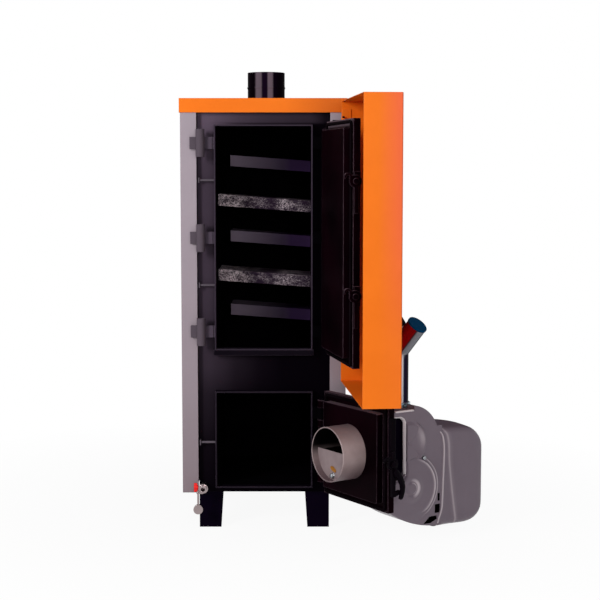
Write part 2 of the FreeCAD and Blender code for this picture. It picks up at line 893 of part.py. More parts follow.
def burner_flange():
    """The flange and the steel plate that stands on it at the bottom of the recess."""
    body = ubox(-plate_half, plate_half, 0, burner_plate, plate_z0, plate_z1)
    upright = [e for e in body.Edges if abs(e.tangentAt(e.FirstParameter).y) > 0.99]
    body = body.makeFillet(burner_plate_round, upright)
    bore = cyl_y(out(burner_plate) - 1, out(0) + 1, 0, tube_z, tube_r + weld)
    z0, z1 = tube_z - recess_low - housing_wall, tube_z + recess_high + housing_wall
    x0 = recess_floor
    stand = ubox(x0, x0 + side_plate, burner_plate, recess_far + housing_wall, z0, z1)
    return [body.cut(bore), stand]


def flange_bolts():
    """Hexagon heads with washers at the corners of the flange."""
    bolts = []
    y = out(burner_plate)
    for x in (-plate_half + bolt_in, plate_half - bolt_in):
        for z in (plate_z0 + bolt_end, plate_z1 - bolt_end):
            washer = cyl_y(y - bolt_r / 4, y, x, z, bolt_r + 1.5)
            hexagon = []
            for k in range(7):
                a = math.radians(60 * k)
                across, up = bolt_r * math.cos(a), bolt_r * math.sin(a)
                hexagon.append(Vector(x + across, front + y - bolt_r - 1, z + up))
            head = Part.Face(Part.makePolygon(hexagon)).extrude(Vector(0, bolt_r, 0))
            bolts.append(fuse([washer, head]))
    return bolts


tube_front = tray_in + liner_rise + tube_reach


def burner_tube():
    body = cyl_y(out(burner_plate), tube_front, 0, tube_z, tube_r)
    bore = cyl_y(out(burner_plate) - 1, tube_front + 1, 0, tube_z, tube_r - tube_wall)
    return body.cut(bore)


def half_moon():
    """The plate across the lower half of the burner mouth."""
    y1 = tube_front - moon_in
    y0 = y1 - moon_thick
    disc = cyl_y(y0, y1, 0, tube_z, tube_r - tube_wall - seat)
    disc = disc.cut(box(-tube_r, tube_r, y0 - 1, y1 + 1, tube_z + moon_rise, tube_z + tube_r))
    return disc.cut(cyl_y(y0 - 1, y1 + 1, 0, tube_z - igniter_drop, igniter_r + seat))


def plate_bolt():
    y1 = tube_front - moon_in
    return cyl_y(y1, y1 + moon_bolt_tall, 0, tube_z - moon_bolt_drop, moon_bolt_r)


def fire_pot():
    """The half-round grate that the pellets burn in."""
    y1 = tube_front - moon_in - moon_thick
    y0 = out(burner_plate) + 2.0
    r = tube_r - tube_wall - pot_in
    outer = cyl_y(y0, y1, 0, tube_z, r)
    inner = cyl_y(y0 - 1, y1 + 1, 0, tube_z, r - pot_wall)
    pot = outer.cut(inner).cut(box(-tube_r, tube_r, y0 - 1, y1 + 1, tube_z + pot_wall, tube_z + tube_r))
    step = (y1 - y0) / 6
    for i in range(6):
        y = y0 + (i + 0.5) * step
        for x in (-pot_hole_x, pot_hole_x):
            pot = pot.cut(cyl_z(tube_z - tube_r, tube_z - r / 2, x, y, pot_hole_r))
    return pot


def igniter():
    """Ceramic rod under the grate with its tip in the hole of the plate."""
    return cyl_y(out(burner_plate) + 2.0, tube_front - moon_in - 1, 0, tube_z - igniter_drop, igniter_r)


casing_far = hood_near - seat


def casing(inset):
    """The lower part round the fan, with an arched underside."""
    x0, x1 = -housing_half + inset, casing_right - inset
    u0, u1 = burner_plate + inset, casing_far - inset
    top = tube_z - casing_top_drop
    p0 = Vector(x0, front + out(u0), tube_z - casing_near_drop + inset)
    p1 = Vector(x0, front + out(casing_mid_u), tube_z - casing_mid_drop + inset)
    p2 = Vector(x0, front + out(u1), tube_z - casing_far_drop + inset)
    p3 = Vector(x0, front + out(u1), top)
    p4 = Vector(x0, front + out(u0), top)
    edges = [Part.Arc(p0, p1, p2).toShape(), Part.makeLine(p2, p3)]
    edges.extend([Part.makeLine(p3, p4), Part.makeLine(p4, p0)])
    return Part.Face(Part.Wire(edges)).extrude(Vector(x1 - x0, 0, 0))


def notch(inset):
    """The flat place for the feed pipe in the round top."""
    z0, z1 = tube_z + neck_high - inset, upper_z + upper_r + 1
    x1 = notch_side + inset
    a = ubox(-2 * housing_half, x1, -recess_far, notch_far + inset, z0, z1)
    b = ubox(-x1, x1, notch_far - 1, feed_u + notch_end + inset, z0, z1)
    return fuse([a, b])


def housing_solid(inset):
    half_x = housing_half - inset
    z0, z1 = tube_z - box_low + inset, tube_z + neck_high - inset
    a = cyl_x(-half_x, half_x, out(upper_u), upper_z, upper_r - inset)
    a = a.common(ubox(-half_x, half_x, burner_plate + inset, hood_near, z0, 2 * upper_z))
    b = ubox(-half_x, half_x, burner_plate + inset, upper_u, z0, z1)
    c = ubox(-half_x, half_x, burner_plate + inset, neck_far - inset, tube_z - neck_low + inset, z0 + 1)
    d = ubox(-half_x, half_x, upper_u, casing_far - inset, z0, tube_z + box_high - inset)
    return fuse([a, b, c, d, casing(inset)]).cut(notch(inset))


def air_slot(u0, u1, low, high, slant):
    """A slot through the left wall; slant is the part of its width that the ends lean by."""
    lean = slant * (u1 - u0)
    outline = [(out(u0), tube_z - low), (out(u1 - lean), tube_z - low)]
    outline.append((out(u1), tube_z - low + slant * (low - high)))
    outline.extend([(out(u1), tube_z - high), (out(u0 + lean), tube_z - high)])
    return prism_x(-housing_half - 1, -housing_half + 2 * housing_wall, outline)


def burner_housing():
    """A moulded shell in four pieces: left wall, upper band, fan trough and right wall."""
    x0 = -housing_half
    boss_at = Vector(x0, front + out(boss_u), upper_z - boss_drop)
    boss = Part.makeCone(boss_r, boss_end_r, boss_out, boss_at, Vector(-1, 0, 0))
    sleeve_r = feed_r + sleeve_wall
    sleeve = cyl_z(feed_top - sleeve_down, feed_top + sleeve_up, 0, out(feed_u), sleeve_r)
    top = feed_top + 2 * sleeve_up
    deep = housing_wall + 1
    lip = recess(housing_wall, recess_floor).common(ubox(x0, 0, burner_plate, hood_near, 0, top))
    tools = [housing_solid(housing_wall)]
    tools.append(cyl_x(x0 - boss_out - 1, x0, out(fan_u), fan_z, fan_cover_r + seat))
    tools.append(cyl_y(out(burner_plate + deep), out(burner_plate) + 1, 0, tube_z, tube_r - tube_wall))
    z0, z1 = tube_z - recess_low - housing_wall, tube_z + recess_high + housing_wall
    tools.append(ubox(recess_floor - 1, 0, burner_plate - 1, burner_plate + deep, z0, z1))
    tools.append(cyl_x(casing_right - deep, casing_right + 1, out(fan_u), fan_z, fan_hub_r))
    tools.append(cyl_x(x0 - 1, x0 + deep, out(fan_u), fan_z, fan_inlet_r))
    tools.append(air_slot(279.0, 289.0, 206.5, 177.5, 0.0))
    tools.append(air_slot(266.0, 290.0, 251.5, 218.5, 0.0))
    tools.append(air_slot(212.0, 275.0, 286.0, 261.5, 0.45))
    body = cut(fuse([housing_solid(0), boss]), tools)
    body = fuse([body, sleeve, lip]).cut(recess(0, recess_floor))
    z0 = feed_top - 2 * sleeve_down
    body = body.cut(cyl_z(z0, top, 0, out(feed_u), feed_r + seat))
    inner = housing_half - housing_wall
    far = 2 * housing_half
    low = tube_z - box_low
    walls = []
    cuts = [(-far, -inner, 0, top), (-inner, inner, low, top), (-inner, inner, 0, low), (inner, far, 0, top)]
    for a, b, c, d in cuts:
        walls.append(body.common(ubox(a, b, -upper_r, hood_far, c, d)))
    return walls


def fan_cover():
    """Stepped round cover over the fan with a small cap in its middle."""
    x = -housing_half
    base = cyl_x(x - fan_cover_edge, x, out(fan_u), fan_z, fan_cover_r)
    step = cyl_x(x - fan_cover_out, x, out(fan_u), fan_z, fan_cover_step_r)
    cap = cyl_x(x - fan_cap_out, x, out(fan_u), fan_z, fan_cap_r)
    body = fuse([base, step, cap])
    hollow_r = fan_cover_step_r - fan_cover_edge
    body = body.cut(cyl_x(x - fan_cover_out + housing_wall, x + 1, out(fan_u), fan_z, hollow_r))
    return body.cut(recess(housing_wall + seat, 0))


def fan_rotor():
    """Shaft, hub, back disc and straight blades in one piece."""
    y = out(fan_u)
    x0 = -fan_long * 3 / 4
    x1 = x0 + fan_long
    shaft = cyl_x(x0, casing_right + motor_long / 2, y, fan_z, fan_shaft_r)
    hub = cyl_x(x0 - fan_hub_r, x1 + fan_shaft_r, y, fan_z, fan_hub_r)
    disc = cyl_x(x1 - 1, x1 + 3, y, fan_z, fan_r)
    pieces = [shaft, hub, disc]
    for k in range(12):
        blade = box(x0, x1, -1.5, 1.5, fan_inner_r, fan_r - 1)
        blade.translate(Vector(0, y, fan_z))
        blade.rotate(Vector(0, front + y, fan_z), Vector(1, 0, 0), 30.0 * k)
        pieces.append(blade)
    return fuse(pieces)


def fan_motor():
    x = casing_right
    y = out(fan_u)
    base = cyl_x(x, x + fan_cover_edge, y, fan_z, motor_r + fan_hub_r)
    can = cyl_x(x, x + motor_long, y, fan_z, motor_r)
    bore = cyl_x(x - 1, x + motor_long / 2 + 3, y, fan_z, fan_shaft_r + run)
    return fuse([base, can]).cut(bore)


hood_half = housing_half + seat + hood_wall


def hood():
    """Moulded cover over the outer end of the burner, open towards the door."""
    near, far = out(hood_near), out(hood_far)
    low, high = tube_z - hood_low, tube_z + hood_high
    end_low, end_high = tube_z - hood_end_low, tube_z + hood_end_high
    body = prism_x(-hood_half, hood_half, [(near, low), (far, end_low), (far, end_high), (near, high)])

    def corner(z):
        return [e for e in body.Edges if abs(e.tangentAt(e.FirstParameter).x) > 0.99
                and abs(e.CenterOfMass.y - front - far) < 1 and abs(e.CenterOfMass.z - z) < 1]

    low_corner = corner(end_low)
    body = body.makeFillet(hood_low_round, low_corner)
    high_corner = corner(end_high)
    body = body.makeFillet(hood_high_round, high_corner)
    rim = [e for e in body.Edges if abs(abs(e.CenterOfMass.x) - hood_half) < 0.01
           and e.CenterOfMass.y < front + near - 1]
    body = body.makeFillet(hood_rim_round, rim)
    open_face = [f for f in body.Faces if abs(f.CenterOfMass.y - front - near) < 0.01]
    return body.makeThickness(open_face, -hood_wall, 0.001)


def control_unit():
    u1 = hood_far - hood_wall - seat
    return ubox(-unit_half, unit_half, u1 - unit_deep, u1, tube_z - unit_low, tube_z - unit_high)


def feed_clamp():
    """Clamp band with two ears and its bolt."""
    z1 = feed_top + sleeve_up - 1.0
    z0 = z1 - clamp_tall
    mid = (z0 + z1) / 2
    y = out(feed_u)
    r = feed_r + sleeve_wall
    wide = clamp_ear_half
    bolt_x = -feed_r - clamp_ear + 7.0
    band = cyl_z(z0, z1, 0, y, r + clamp_wall)
    ears = box(-feed_r - clamp_ear, -feed_r, y - wide, y + wide, z0, z1)
    body = fuse([band, ears]).cut(cyl_z(z0 - 1, z1 + 1, 0, y, r + weld))
    bolt = cyl_y(y - wide - 6.0, y + wide + 6.0, bolt_x, mid, clamp_bolt_r)
    head = cyl_y(y - wide - 7.0, y - wide, bolt_x, mid, 2 * clamp_bolt_r)
    slit = box(-feed_r - clamp_ear - 1, -feed_r - 3.0, y - wide / 4, y + wide / 4, z0 - 1, z1 + 1)
    return fuse([body.cut(slit), bolt, head])


branch_z = feed_top + branch_rise
main_top = feed_top + main_rise


def branch_slope():
    """The way the branch leans: off the upright, turned round the pipe towards the latch side."""
    lean, turn = math.radians(branch_lean), math.radians(branch_turn)
    flat = math.sin(lean)
    return Vector(-flat * math.sin(turn), -flat * math.cos(turn), math.cos(lean))


def feed_tube():
    """A branch fitting: an upright pipe with a leaning inlet."""
    wall = feed_wall
    slope = branch_slope()
    start = Vector(0, front + out(feed_u), branch_z)
    main = cyl_z(feed_top - feed_seat, main_top, 0, out(feed_u), feed_r)
    arm = Part.makeCylinder(feed_r, branch_long, start, slope)
    main_in = cyl_z(feed_top - feed_seat - 1, main_top + 1, 0, out(feed_u), feed_r - wall)
    arm_in = Part.makeCylinder(feed_r - wall, branch_long + 1, start, slope)
    return cut(fuse([main, arm]), [main_in, arm_in])


def inlet_cap():
    slope = branch_slope()
    start = Vector(0, front + out(feed_u), branch_z) + slope * branch_long
    cap = Part.makeCylinder(feed_r + inlet_rim, inlet_thick, start, slope)
    plug = Part.makeCylinder(feed_r - feed_wall - seat, inlet_deep + 1, start - slope * inlet_deep, slope)
    cap = cap.makeFillet(inlet_rim + 1, [cap.Edges[0]])
    return fuse([cap, plug])


def top_cap():
    """Conical plug on the straight end of the feed fitting."""
    start = Vector(0, front + out(feed_u), main_top)
    cone = Part.makeCone(feed_r - plug_top_r, plug_top_r, plug_tall, start, Vector(0, 0, 1))
    plug = cyl_z(main_top - 2 * feed_wall, main_top + 1, 0, out(feed_u), feed_r - feed_wall - seat)
    return fuse([cone, plug])


def housing_screw():
    """Pan head on the side of the housing, at the rim of the fan cover."""
    reach = fan_cover_r + screw_r + 1.5
    a = math.radians(70.0)
    u, z = fan_u + reach * math.cos(a), fan_z + reach * math.sin(a)
    return cyl_x(-housing_half - screw_r / 2, -housing_half, out(u), z, screw_r + 1.0)


# write every node

save("front_plate", front_plate())
save("outer_shell", outer_shell())
save("firebox", firebox() + [throat()])
shelves_front, shelves_rear = shelves()
save("water_shelves_front", shelves_front)
save("water_shelves_rear", shelves_rear)
save("upper_collar", fuse([collar(upper_low, upper_high), sill()]))
save("lower_collar", collar(lower_low, lower_high))
save("flue_spigot", flue())
save("water_sockets", [socket(flow_z), socket(return_z)])
save("legs", [leg(-1, False), leg(1, False), leg(-1, True), leg(1, True)])
save("side_panel_left", side_panel(-1))
save("side_panel_right", side_panel(1))
save("rear_panel", rear_panel())
save("top_lid", lid())
save("jacket_wool", wool())
save("rear_screws", rear_screws())
spare_tall = lug_tall + 2 * knuckle_tall + 2.0
save("spare_hinge_lugs", [lug(-1, hinge_x, z, spare_tall) for z in lug_heights])
used_lugs = [lug(1, hinge_x, z, lug_tall) for z in lug_heights]
used_lugs.extend([lug(1, lower_hinge_x, z, lug_tall) for z in lower_lug_heights])
save("hinge_lugs", used_lugs)
used_pins = [hinge_pin(hinge_x, z) for z in lug_heights]
used_pins.extend([hinge_pin(lower_hinge_x, z) for z in lower_lug_heights])
save("hinge_pins", used_pins)
save("keeper_rods", [keeper(z) for z in rod_heights + [lower_rod]])
save("cover_brackets", [cover_bracket(z) for z in cover_pins_z()])
save("drain_valve_body", drain_body())
save("drain_valve_ball", drain_ball())
save("drain_valve_lever", drain_lever())
save("drain_cap", drain_cap())

save_inner("inner_door_tray", [tray(upper_low, upper_high, False)])
save_inner("inner_door_liner", [liner(upper_low, upper_high, False)])
save_inner("inner_door_wool", [door_wool(upper_low, upper_high, False)])
save_inner("inner_door_rope", [rope(upper_low, upper_high)])
inner_ears = []
for lug_z in lug_heights:
    inner_ears.extend(knuckles(hinge_x, lug_z))
save_inner("inner_door_knuckles", inner_ears)
save_inner("inner_latch_brackets", [latch_bracket(z, bracket_half, bracket_half) for z in rod_heights])
save_inner("inner_latch_top", [latch(rod_heights[0], lever_long, 0, False)])
save_inner("inner_latch_bottom", [latch(rod_heights[1], lever_long, 0, False)])

save_outer("outer_cover", [cover()])
save_outer("outer_cover_ears", [cover_ear(z) for z in cover_pins_z()])

save_lower("lower_door_tray", [tray(lower_low, lower_high, True)])
save_lower("lower_door_liner", [liner(lower_low, lower_high, True)])
save_lower("lower_door_wool", [door_wool(lower_low, lower_high, True)])
save_lower("lower_door_rope", [rope(lower_low, lower_high)])
lower_ears = []
for lug_z in lower_lug_heights:
    lower_ears.extend(knuckles(lower_hinge_x, lug_z))
save_lower("lower_door_knuckles", lower_ears)
save_lower("lower_latch_bracket", [latch_bracket(lower_rod, lower_bracket_up, bracket_half)])
save_lower("lower_latch", [latch(lower_rod, lower_lever_long, lower_lever_up, True)])
save_lower("burner_flange", burner_flange())
save_lower("burner_flange_bolts", flange_bolts())
save_lower("burner_tube", [burner_tube()])
save_lower("burner_half_moon", [half_moon(), plate_bolt()])
save_lower("burner_fire_pot", [fire_pot()])
save_lower("burner_igniter", [igniter()])
save_lower("burner_housing", burner_housing())
save_lower("burner_fan_cover", [fan_cover()])
save_lower("burner_fan_rotor", [fan_rotor()])
save_lower("burner_fan_motor", [fan_motor()])
save_lower("burner_hood", [hood()])
save_lower("burner_control_unit", [control_unit()])
save_lower("burner_screws", [housing_screw()])
save_lower("feed_clamp", [feed_clamp()])
save_lower("feed_tube", [feed_tube()])
save_lower("feed_inlet_cap", [inlet_cap()])
save_lower("feed_top_cap", [top_cap()])
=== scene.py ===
import json
import math

import bmesh
import bpy
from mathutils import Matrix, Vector

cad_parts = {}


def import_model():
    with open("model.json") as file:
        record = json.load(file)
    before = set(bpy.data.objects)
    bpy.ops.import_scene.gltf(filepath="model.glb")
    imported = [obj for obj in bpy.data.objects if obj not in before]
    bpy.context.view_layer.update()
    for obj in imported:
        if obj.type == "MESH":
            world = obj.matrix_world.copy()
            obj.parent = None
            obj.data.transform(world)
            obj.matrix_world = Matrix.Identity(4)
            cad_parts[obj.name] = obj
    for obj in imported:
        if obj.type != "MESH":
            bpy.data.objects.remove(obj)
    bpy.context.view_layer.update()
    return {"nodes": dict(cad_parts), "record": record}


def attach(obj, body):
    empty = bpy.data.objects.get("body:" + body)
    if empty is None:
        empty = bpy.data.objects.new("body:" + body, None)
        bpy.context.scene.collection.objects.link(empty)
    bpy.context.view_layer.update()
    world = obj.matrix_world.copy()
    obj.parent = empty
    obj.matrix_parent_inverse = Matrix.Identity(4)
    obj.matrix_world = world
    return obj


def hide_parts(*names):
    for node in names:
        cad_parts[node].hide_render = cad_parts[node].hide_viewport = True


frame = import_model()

nodes = frame["nodes"]
MATERIALS = {}

# front of the jacket, in metres

FRONT = -0.360

# building blocks of the materials

EDGE_SAMPLES = 4


def blank_material(name):
    """An empty node tree and the socket that its surface goes to."""
    mat = bpy.data.materials.new(name)
    mat.use_nodes = True
    tree = mat.node_tree
    tree.nodes.clear()
    MATERIALS[name] = mat
    out = tree.nodes.new("ShaderNodeOutputMaterial")
    return tree, out.inputs["Surface"]


def new_material(name):
    tree, surface = blank_material(name)
    shader = tree.nodes.new("ShaderNodeBsdfPrincipled")
    tree.links.new(shader.outputs["BSDF"], surface)
    return tree, shader


def noise(tree, scale, detail=4.0, rough=0.55, stretch=None):
    coord = tree.nodes.new("ShaderNodeTexCoord")
    tex = tree.nodes.new("ShaderNodeTexNoise")
    tex.inputs["Scale"].default_value = scale
    tex.inputs["Detail"].default_value = detail
    tex.inputs["Roughness"].default_value = rough
    if stretch:
        mapping = tree.nodes.new("ShaderNodeMapping")
        mapping.inputs["Scale"].default_value = stretch
        tree.links.new(coord.outputs["Object"], mapping.inputs["Vector"])
        tree.links.new(mapping.outputs["Vector"], tex.inputs["Vector"])
    else:
        tree.links.new(coord.outputs["Object"], tex.inputs["Vector"])
    return tex.outputs["Fac"]


def ramp(tree, source, stops):
    node = tree.nodes.new("ShaderNodeValToRGB")
    elements = node.color_ramp.elements
    while len(elements) < len(stops):
        elements.new(0.5)
    for element, (at, colour) in zip(elements, stops):
        element.position = at
        element.color = (*colour, 1.0)
    tree.links.new(source, node.inputs["Fac"])
    return node.outputs["Color"]


def span(tree, source, low, high, start=0.0, end=1.0):
    """Low to high while the source goes from start to end."""
    node = tree.nodes.new("ShaderNodeMapRange")
    node.inputs["From Min"].default_value = start
    node.inputs["From Max"].default_value = end
    node.inputs["To Min"].default_value = low
    node.inputs["To Max"].default_value = high
    tree.links.new(source, node.inputs["Value"])
    return node.outputs["Result"]


def levels(tree, source, stops):
    """A level read off a list of places and values."""
    first, last = stops[0][0], stops[-1][0]
    share = span(tree, source, 0.0, 1.0, first, last)
    return ramp(tree, share, [((at - first) / (last - first), (value,) * 3) for at, value in stops])


def joined(tree, how, first, second):
    node = tree.nodes.new("ShaderNodeMath")
    node.operation = how
    tree.links.new(first, node.inputs[0])
    tree.links.new(second, node.inputs[1])
    return node.outputs[0]


def dot(tree, first, second):
    node = tree.nodes.new("ShaderNodeVectorMath")
    node.operation = "DOT_PRODUCT"
    tree.links.new(first, node.inputs[0])
    tree.links.new(second, node.inputs[1])
    return node.outputs["Value"]


def coordinate(tree, kind, axis):
    coord = tree.nodes.new("ShaderNodeTexCoord")
    split = tree.nodes.new("ShaderNodeSeparateXYZ")
    tree.links.new(coord.outputs[kind], split.inputs["Vector"])
    return split.outputs[axis]


def place(tree, axis):
    return coordinate(tree, "Object", axis)


def facing(tree, axis):
    return coordinate(tree, "Normal", axis)


def region(tree, limits):
    """The product of the levels along the axes that limits names."""
    share = None
    for axis, stops in limits:
        level = levels(tree, place(tree, axis), stops)
        share = joined(tree, "MULTIPLY", share, level) if share else level
    return share


def blend(tree, factor, first, second):
    node = tree.nodes.new("ShaderNodeMix")
    node.data_type = "RGBA"
    tree.links.new(factor, node.inputs["Factor"])
    tree.links.new(first, node.inputs["A"])
    if isinstance(second, tuple):
        node.inputs["B"].default_value = (*second, 1.0)
    else:
        tree.links.new(second, node.inputs["B"])
    return node.outputs["Result"]


def edge_normal(tree, radius):
    node = tree.nodes.new("ShaderNodeBevel")
    node.samples = EDGE_SAMPLES
    node.inputs["Radius"].default_value = radius
    return node.outputs["Normal"]


def edge_mask(tree, normal):
    """One along the edges, nought on the flats."""
    geometry = tree.nodes.new("ShaderNodeNewGeometry")
    alike = dot(tree, normal, geometry.outputs["Normal"])
    return span(tree, alike, low=1.0, high=0.0, start=0.80, end=0.99)


# mask of sooty faces and of painted shade on faces that look inward
def soot_and_shade_mask(tree, middle, upward):
    """One where a face looks towards the middle of the piece, weighed by height."""
    coord = tree.nodes.new("ShaderNodeTexCoord")
    away = tree.nodes.new("ShaderNodeVectorMath")
    away.operation = "SUBTRACT"
    away.inputs[1].default_value = middle
    tree.links.new(coord.outputs["Object"], away.inputs[0])
    outward = dot(tree, away.outputs[0], coord.outputs["Normal"])
    inside = span(tree, outward, low=1.0, high=0.0, start=-0.01, end=0.0)
    return joined(tree, "MULTIPLY", inside, levels(tree, place(tree, "Z"), upward))


def bump(tree, shader, source, strength, distance, normal):
    node = tree.nodes.new("ShaderNodeBump")
    node.inputs["Strength"].default_value = strength
    node.inputs["Distance"].default_value = distance
    tree.links.new(source, node.inputs["Height"])
    tree.links.new(normal, node.inputs["Normal"])
    tree.links.new(node.outputs["Normal"], shader.inputs["Normal"])


# kinds of finish: colours are linear red, green and blue, places and depths are metres

GRAIN, GRAIN_DETAIL, GRAIN_DEPTH = 900.0, 2.0, 0.0006
DRIFT_START, DRIFT_END = 0.3, 0.7
PATCHES = 60.0
# near-black: sooty in the burner tube, painted shade inside the housing
SOOT_AND_SHADE = (0.0012, 0.0004, 0.0006)


def painted(name, dark, light, rough, peel, metal=0.0, grain=GRAIN, spread=6.0, spec=0.5, edge=0.0015,
            wear_and_highlight=None, patchy=0.0, tint=None, upper=None, gloss=None, soot_and_shade=None, ridge_highlight=None):
    """A finish that drifts between a dark and a light colour, with fine grain and soft edges.

    rough is the range of its roughness and peel the strength of its grain. wear_and_highlight lightens the
    edges, partly as rubbed paint and partly as a painted highlight where light catches them, by the share
    patchy at the least, tint is a colour and the region that it covers, used for painted light, shade and
    sheen, upper is the colour painted on faces that look up for the light and shade that fall on them, gloss
    colours the shine, soot_and_shade blackens faces that look towards the given point, sooty in the burner
    tube and painted shade inside the housing, and ridge_highlight is the colour of the painted highlights on
    a piece's ridges."""
    tree, shader = new_material(name)
    broad = noise(tree, spread)
    fine = noise(tree, grain, GRAIN_DETAIL)
    colour = ramp(tree, broad, [(DRIFT_START, dark), (DRIFT_END, light)])
    if tint:
        colour = blend(tree, region(tree, tint[1]), colour, tint[0])
    normal = edge_normal(tree, edge)
    # edges lighten, partly as rubbed paint and partly as a painted highlight where light catches them
    if wear_and_highlight:
        patch = span(tree, noise(tree, PATCHES), low=patchy, high=1.0, start=0.35, end=0.65)
        colour = blend(tree, joined(tree, "MULTIPLY", edge_mask(tree, normal), patch), colour, wear_and_highlight)
    shader.inputs["Specular IOR Level"].default_value = spec
    # faces that look up take a colour painted for the light and shade that fall on them, and lose their shine
    if upper:
        up = span(tree, facing(tree, "Z"), low=0.0, high=1.0, start=0.35, end=0.85)
        colour = blend(tree, up, colour, upper)
        tree.links.new(span(tree, up, low=spec, high=0.0), shader.inputs["Specular IOR Level"])
    # painted highlights on a piece's ridges
    if ridge_highlight:
        gleam = tree.nodes.new("ShaderNodeAttribute")
        gleam.attribute_name = "highlight"
        colour = blend(tree, gleam.outputs["Fac"], colour, ridge_highlight)
    # inward faces blacken: sooty in the burner tube, painted shade inside the housing
    if soot_and_shade:
        colour = blend(tree, soot_and_shade_mask(tree, *soot_and_shade), colour, SOOT_AND_SHADE)
    if gloss:
        shader.inputs["Specular Tint"].default_value = (*gloss, 1.0)
    tree.links.new(colour, shader.inputs["Base Color"])
    tree.links.new(span(tree, broad, *rough), shader.inputs["Roughness"])
    shader.inputs["Metallic"].default_value = metal
    bump(tree, shader, fine, peel, GRAIN_DEPTH, normal)


CHANGE_HALF, CHANGE_TOP = 0.01, 2.0


def painted_reflections(name, below, above, change, rough, spec):
    """A pipe with painted reflections and highlights: its sides carry the tones that it would mirror, by the
    way that they face.

    The tones differ below and above the height of the change."""
    tree, shader = new_material(name)
    side = span(tree, facing(tree, "X"), low=0.0, high=1.0, start=-1.0, end=1.0)
    steps = [(0.0, 0.0), (change - CHANGE_HALF, 0.0), (change + CHANGE_HALF, 1.0), (CHANGE_TOP, 1.0)]
    high = levels(tree, place(tree, "Z"), steps)
    colour = blend(tree, high, ramp(tree, side, below), ramp(tree, side, above))
    tree.links.new(colour, shader.inputs["Base Color"])
    fine = noise(tree, scale=500.0, detail=GRAIN_DETAIL)
    tree.links.new(span(tree, fine, *rough), shader.inputs["Roughness"])
    shader.inputs["Specular IOR Level"].default_value = spec
    bump(tree, shader, fine, strength=0.04, distance=0.0004, normal=edge_normal(tree, radius=0.001))


def scaled_steel(name, dark, light, rough, along):
    """Rolled steel with bright patches of broken scale, with painted light and shade along X that makes them
    brighter or darker.
    """
    tree, shader = new_material(name)
    patch = noise(tree, scale=22.0, detail=3.0, rough=0.6, stretch=(1.0, 1.0, 1.8))
    speck = noise(tree, scale=240.0, detail=4.0, rough=0.75, stretch=(1.0, 1.0, 1.3))
    patches = span(tree, patch, low=0.25, high=1.0, start=0.36, end=0.62)
    specks = span(tree, speck, low=0.0, high=1.0, start=0.42, end=0.59)
    scale = joined(tree, "MULTIPLY", patches, specks)
    scale = joined(tree, "MULTIPLY", scale, levels(tree, place(tree, "X"), along))
    tree.links.new(ramp(tree, scale, [(0.08, dark), (0.75, light)]), shader.inputs["Base Color"])
    tree.links.new(span(tree, speck, *rough), shader.inputs["Roughness"])
    shader.inputs["Metallic"].default_value = 0.15
    shader.inputs["Specular IOR Level"].default_value = 0.04
    bump(tree, shader, scale, strength=0.5, distance=0.001, normal=edge_normal(tree, radius=0.001))


def graded(name, deep, lit, area, rough, peel, spec, band=None):
    """A dark finish with painted light and shade: lighter where light reaches it and darker in shade, over an
    area and along a band.
    """
    tree, shader = new_material(name)
    share = region(tree, area)
    if band:
        share = joined(tree, "MAXIMUM", share, region(tree, band))
    cloud = span(tree, noise(tree, scale=7.0), low=0.85, high=1.1)
    drift = joined(tree, "MULTIPLY", share, cloud)
    tree.links.new(ramp(tree, drift, [(0.0, deep), (1.0, lit)]), shader.inputs["Base Color"])
    fine = noise(tree, GRAIN, GRAIN_DETAIL)
    tree.links.new(span(tree, fine, *rough), shader.inputs["Roughness"])
    shader.inputs["Specular IOR Level"].default_value = spec
    bump(tree, shader, fine, peel, GRAIN_DEPTH, edge_normal(tree, radius=0.002))


# jacket, lid and cover

ORANGE = {"dark": (0.86, 0.175, 0.010), "light": (0.91, 0.192, 0.012), "rough": (0.36, 0.46), "peel": 0.22,
          "grain": 650.0, "spec": 0.07, "edge": 0.003, "wear_and_highlight": (0.95, 0.27, 0.06)}
# painted sheen: the cover's free edge redder and pinker, more so high up, as a soft reflection
COVER_EDGE_SHEEN = ((0.86, 0.128, 0.062), [("X", [(0.30, 0.0), (0.395, 0.0), (0.465, 0.75), (0.50, 1.0)]),
                                     ("Y", [(-1.0, 1.0), (-0.965, 1.0), (-0.93, 0.0), (-0.3, 0.0)]),
                                     ("Z", [(0.5, 0.05), (0.8, 0.2), (1.15, 0.8), (1.7, 1.0)])])
# painted shade: the lid darker towards its right end, where the cover shades it
LID_SHADE = ((0.68, 0.132, 0.008), [("X", [(-0.3, 0.0), (0.08, 0.0), (0.24, 1.0), (0.33, 1.0)])])
# the jacket's grey grows darker towards the bottom
JACKET_DARKER_LOW = ((0.24, 0.192, 0.212), [("Z", [(0.14, 1.0), (0.5, 0.6), (1.2, 0.1), (1.7, 0.0)])])

painted("orange_paint", **ORANGE, tint=COVER_EDGE_SHEEN)
painted("lid_paint", **ORANGE, tint=LID_SHADE)
painted("grey_paint", (0.335, 0.282, 0.322), (0.365, 0.308, 0.350), (0.46, 0.54), 0.1, spec=0.12, edge=0.002,
        tint=JACKET_DARKER_LOW)

# water vessel, collars and doors

# painted light and shade on the front wall: lighter at the left and high up, darker towards the right and low
# down, and a lit band under the lid
WALL_LIT_AREA = [("X", [(-0.25, 1.0), (-0.21, 1.0), (-0.155, 0.7), (-0.11, 0.36), (-0.02, 0.10), (0.07, 0.01),
                    (0.25, 0.0)]),
             ("Z", [(0.15, 0.01), (0.305, 0.03), (0.52, 0.125), (0.62, 0.28), (0.88, 0.40), (1.25, 0.43),
                    (1.39, 0.46), (1.53, 0.95), (1.56, 1.0)])]
WALL_LIT_BAND = [("X", [(-0.25, 1.0), (-0.21, 1.0), (-0.09, 0.57), (0.03, 0.36), (0.18, 0.26), (0.23, 0.05)]),
             ("Z", [(1.0, 0.0), (1.535, 0.0), (1.545, 1.0), (1.7, 1.0)])]
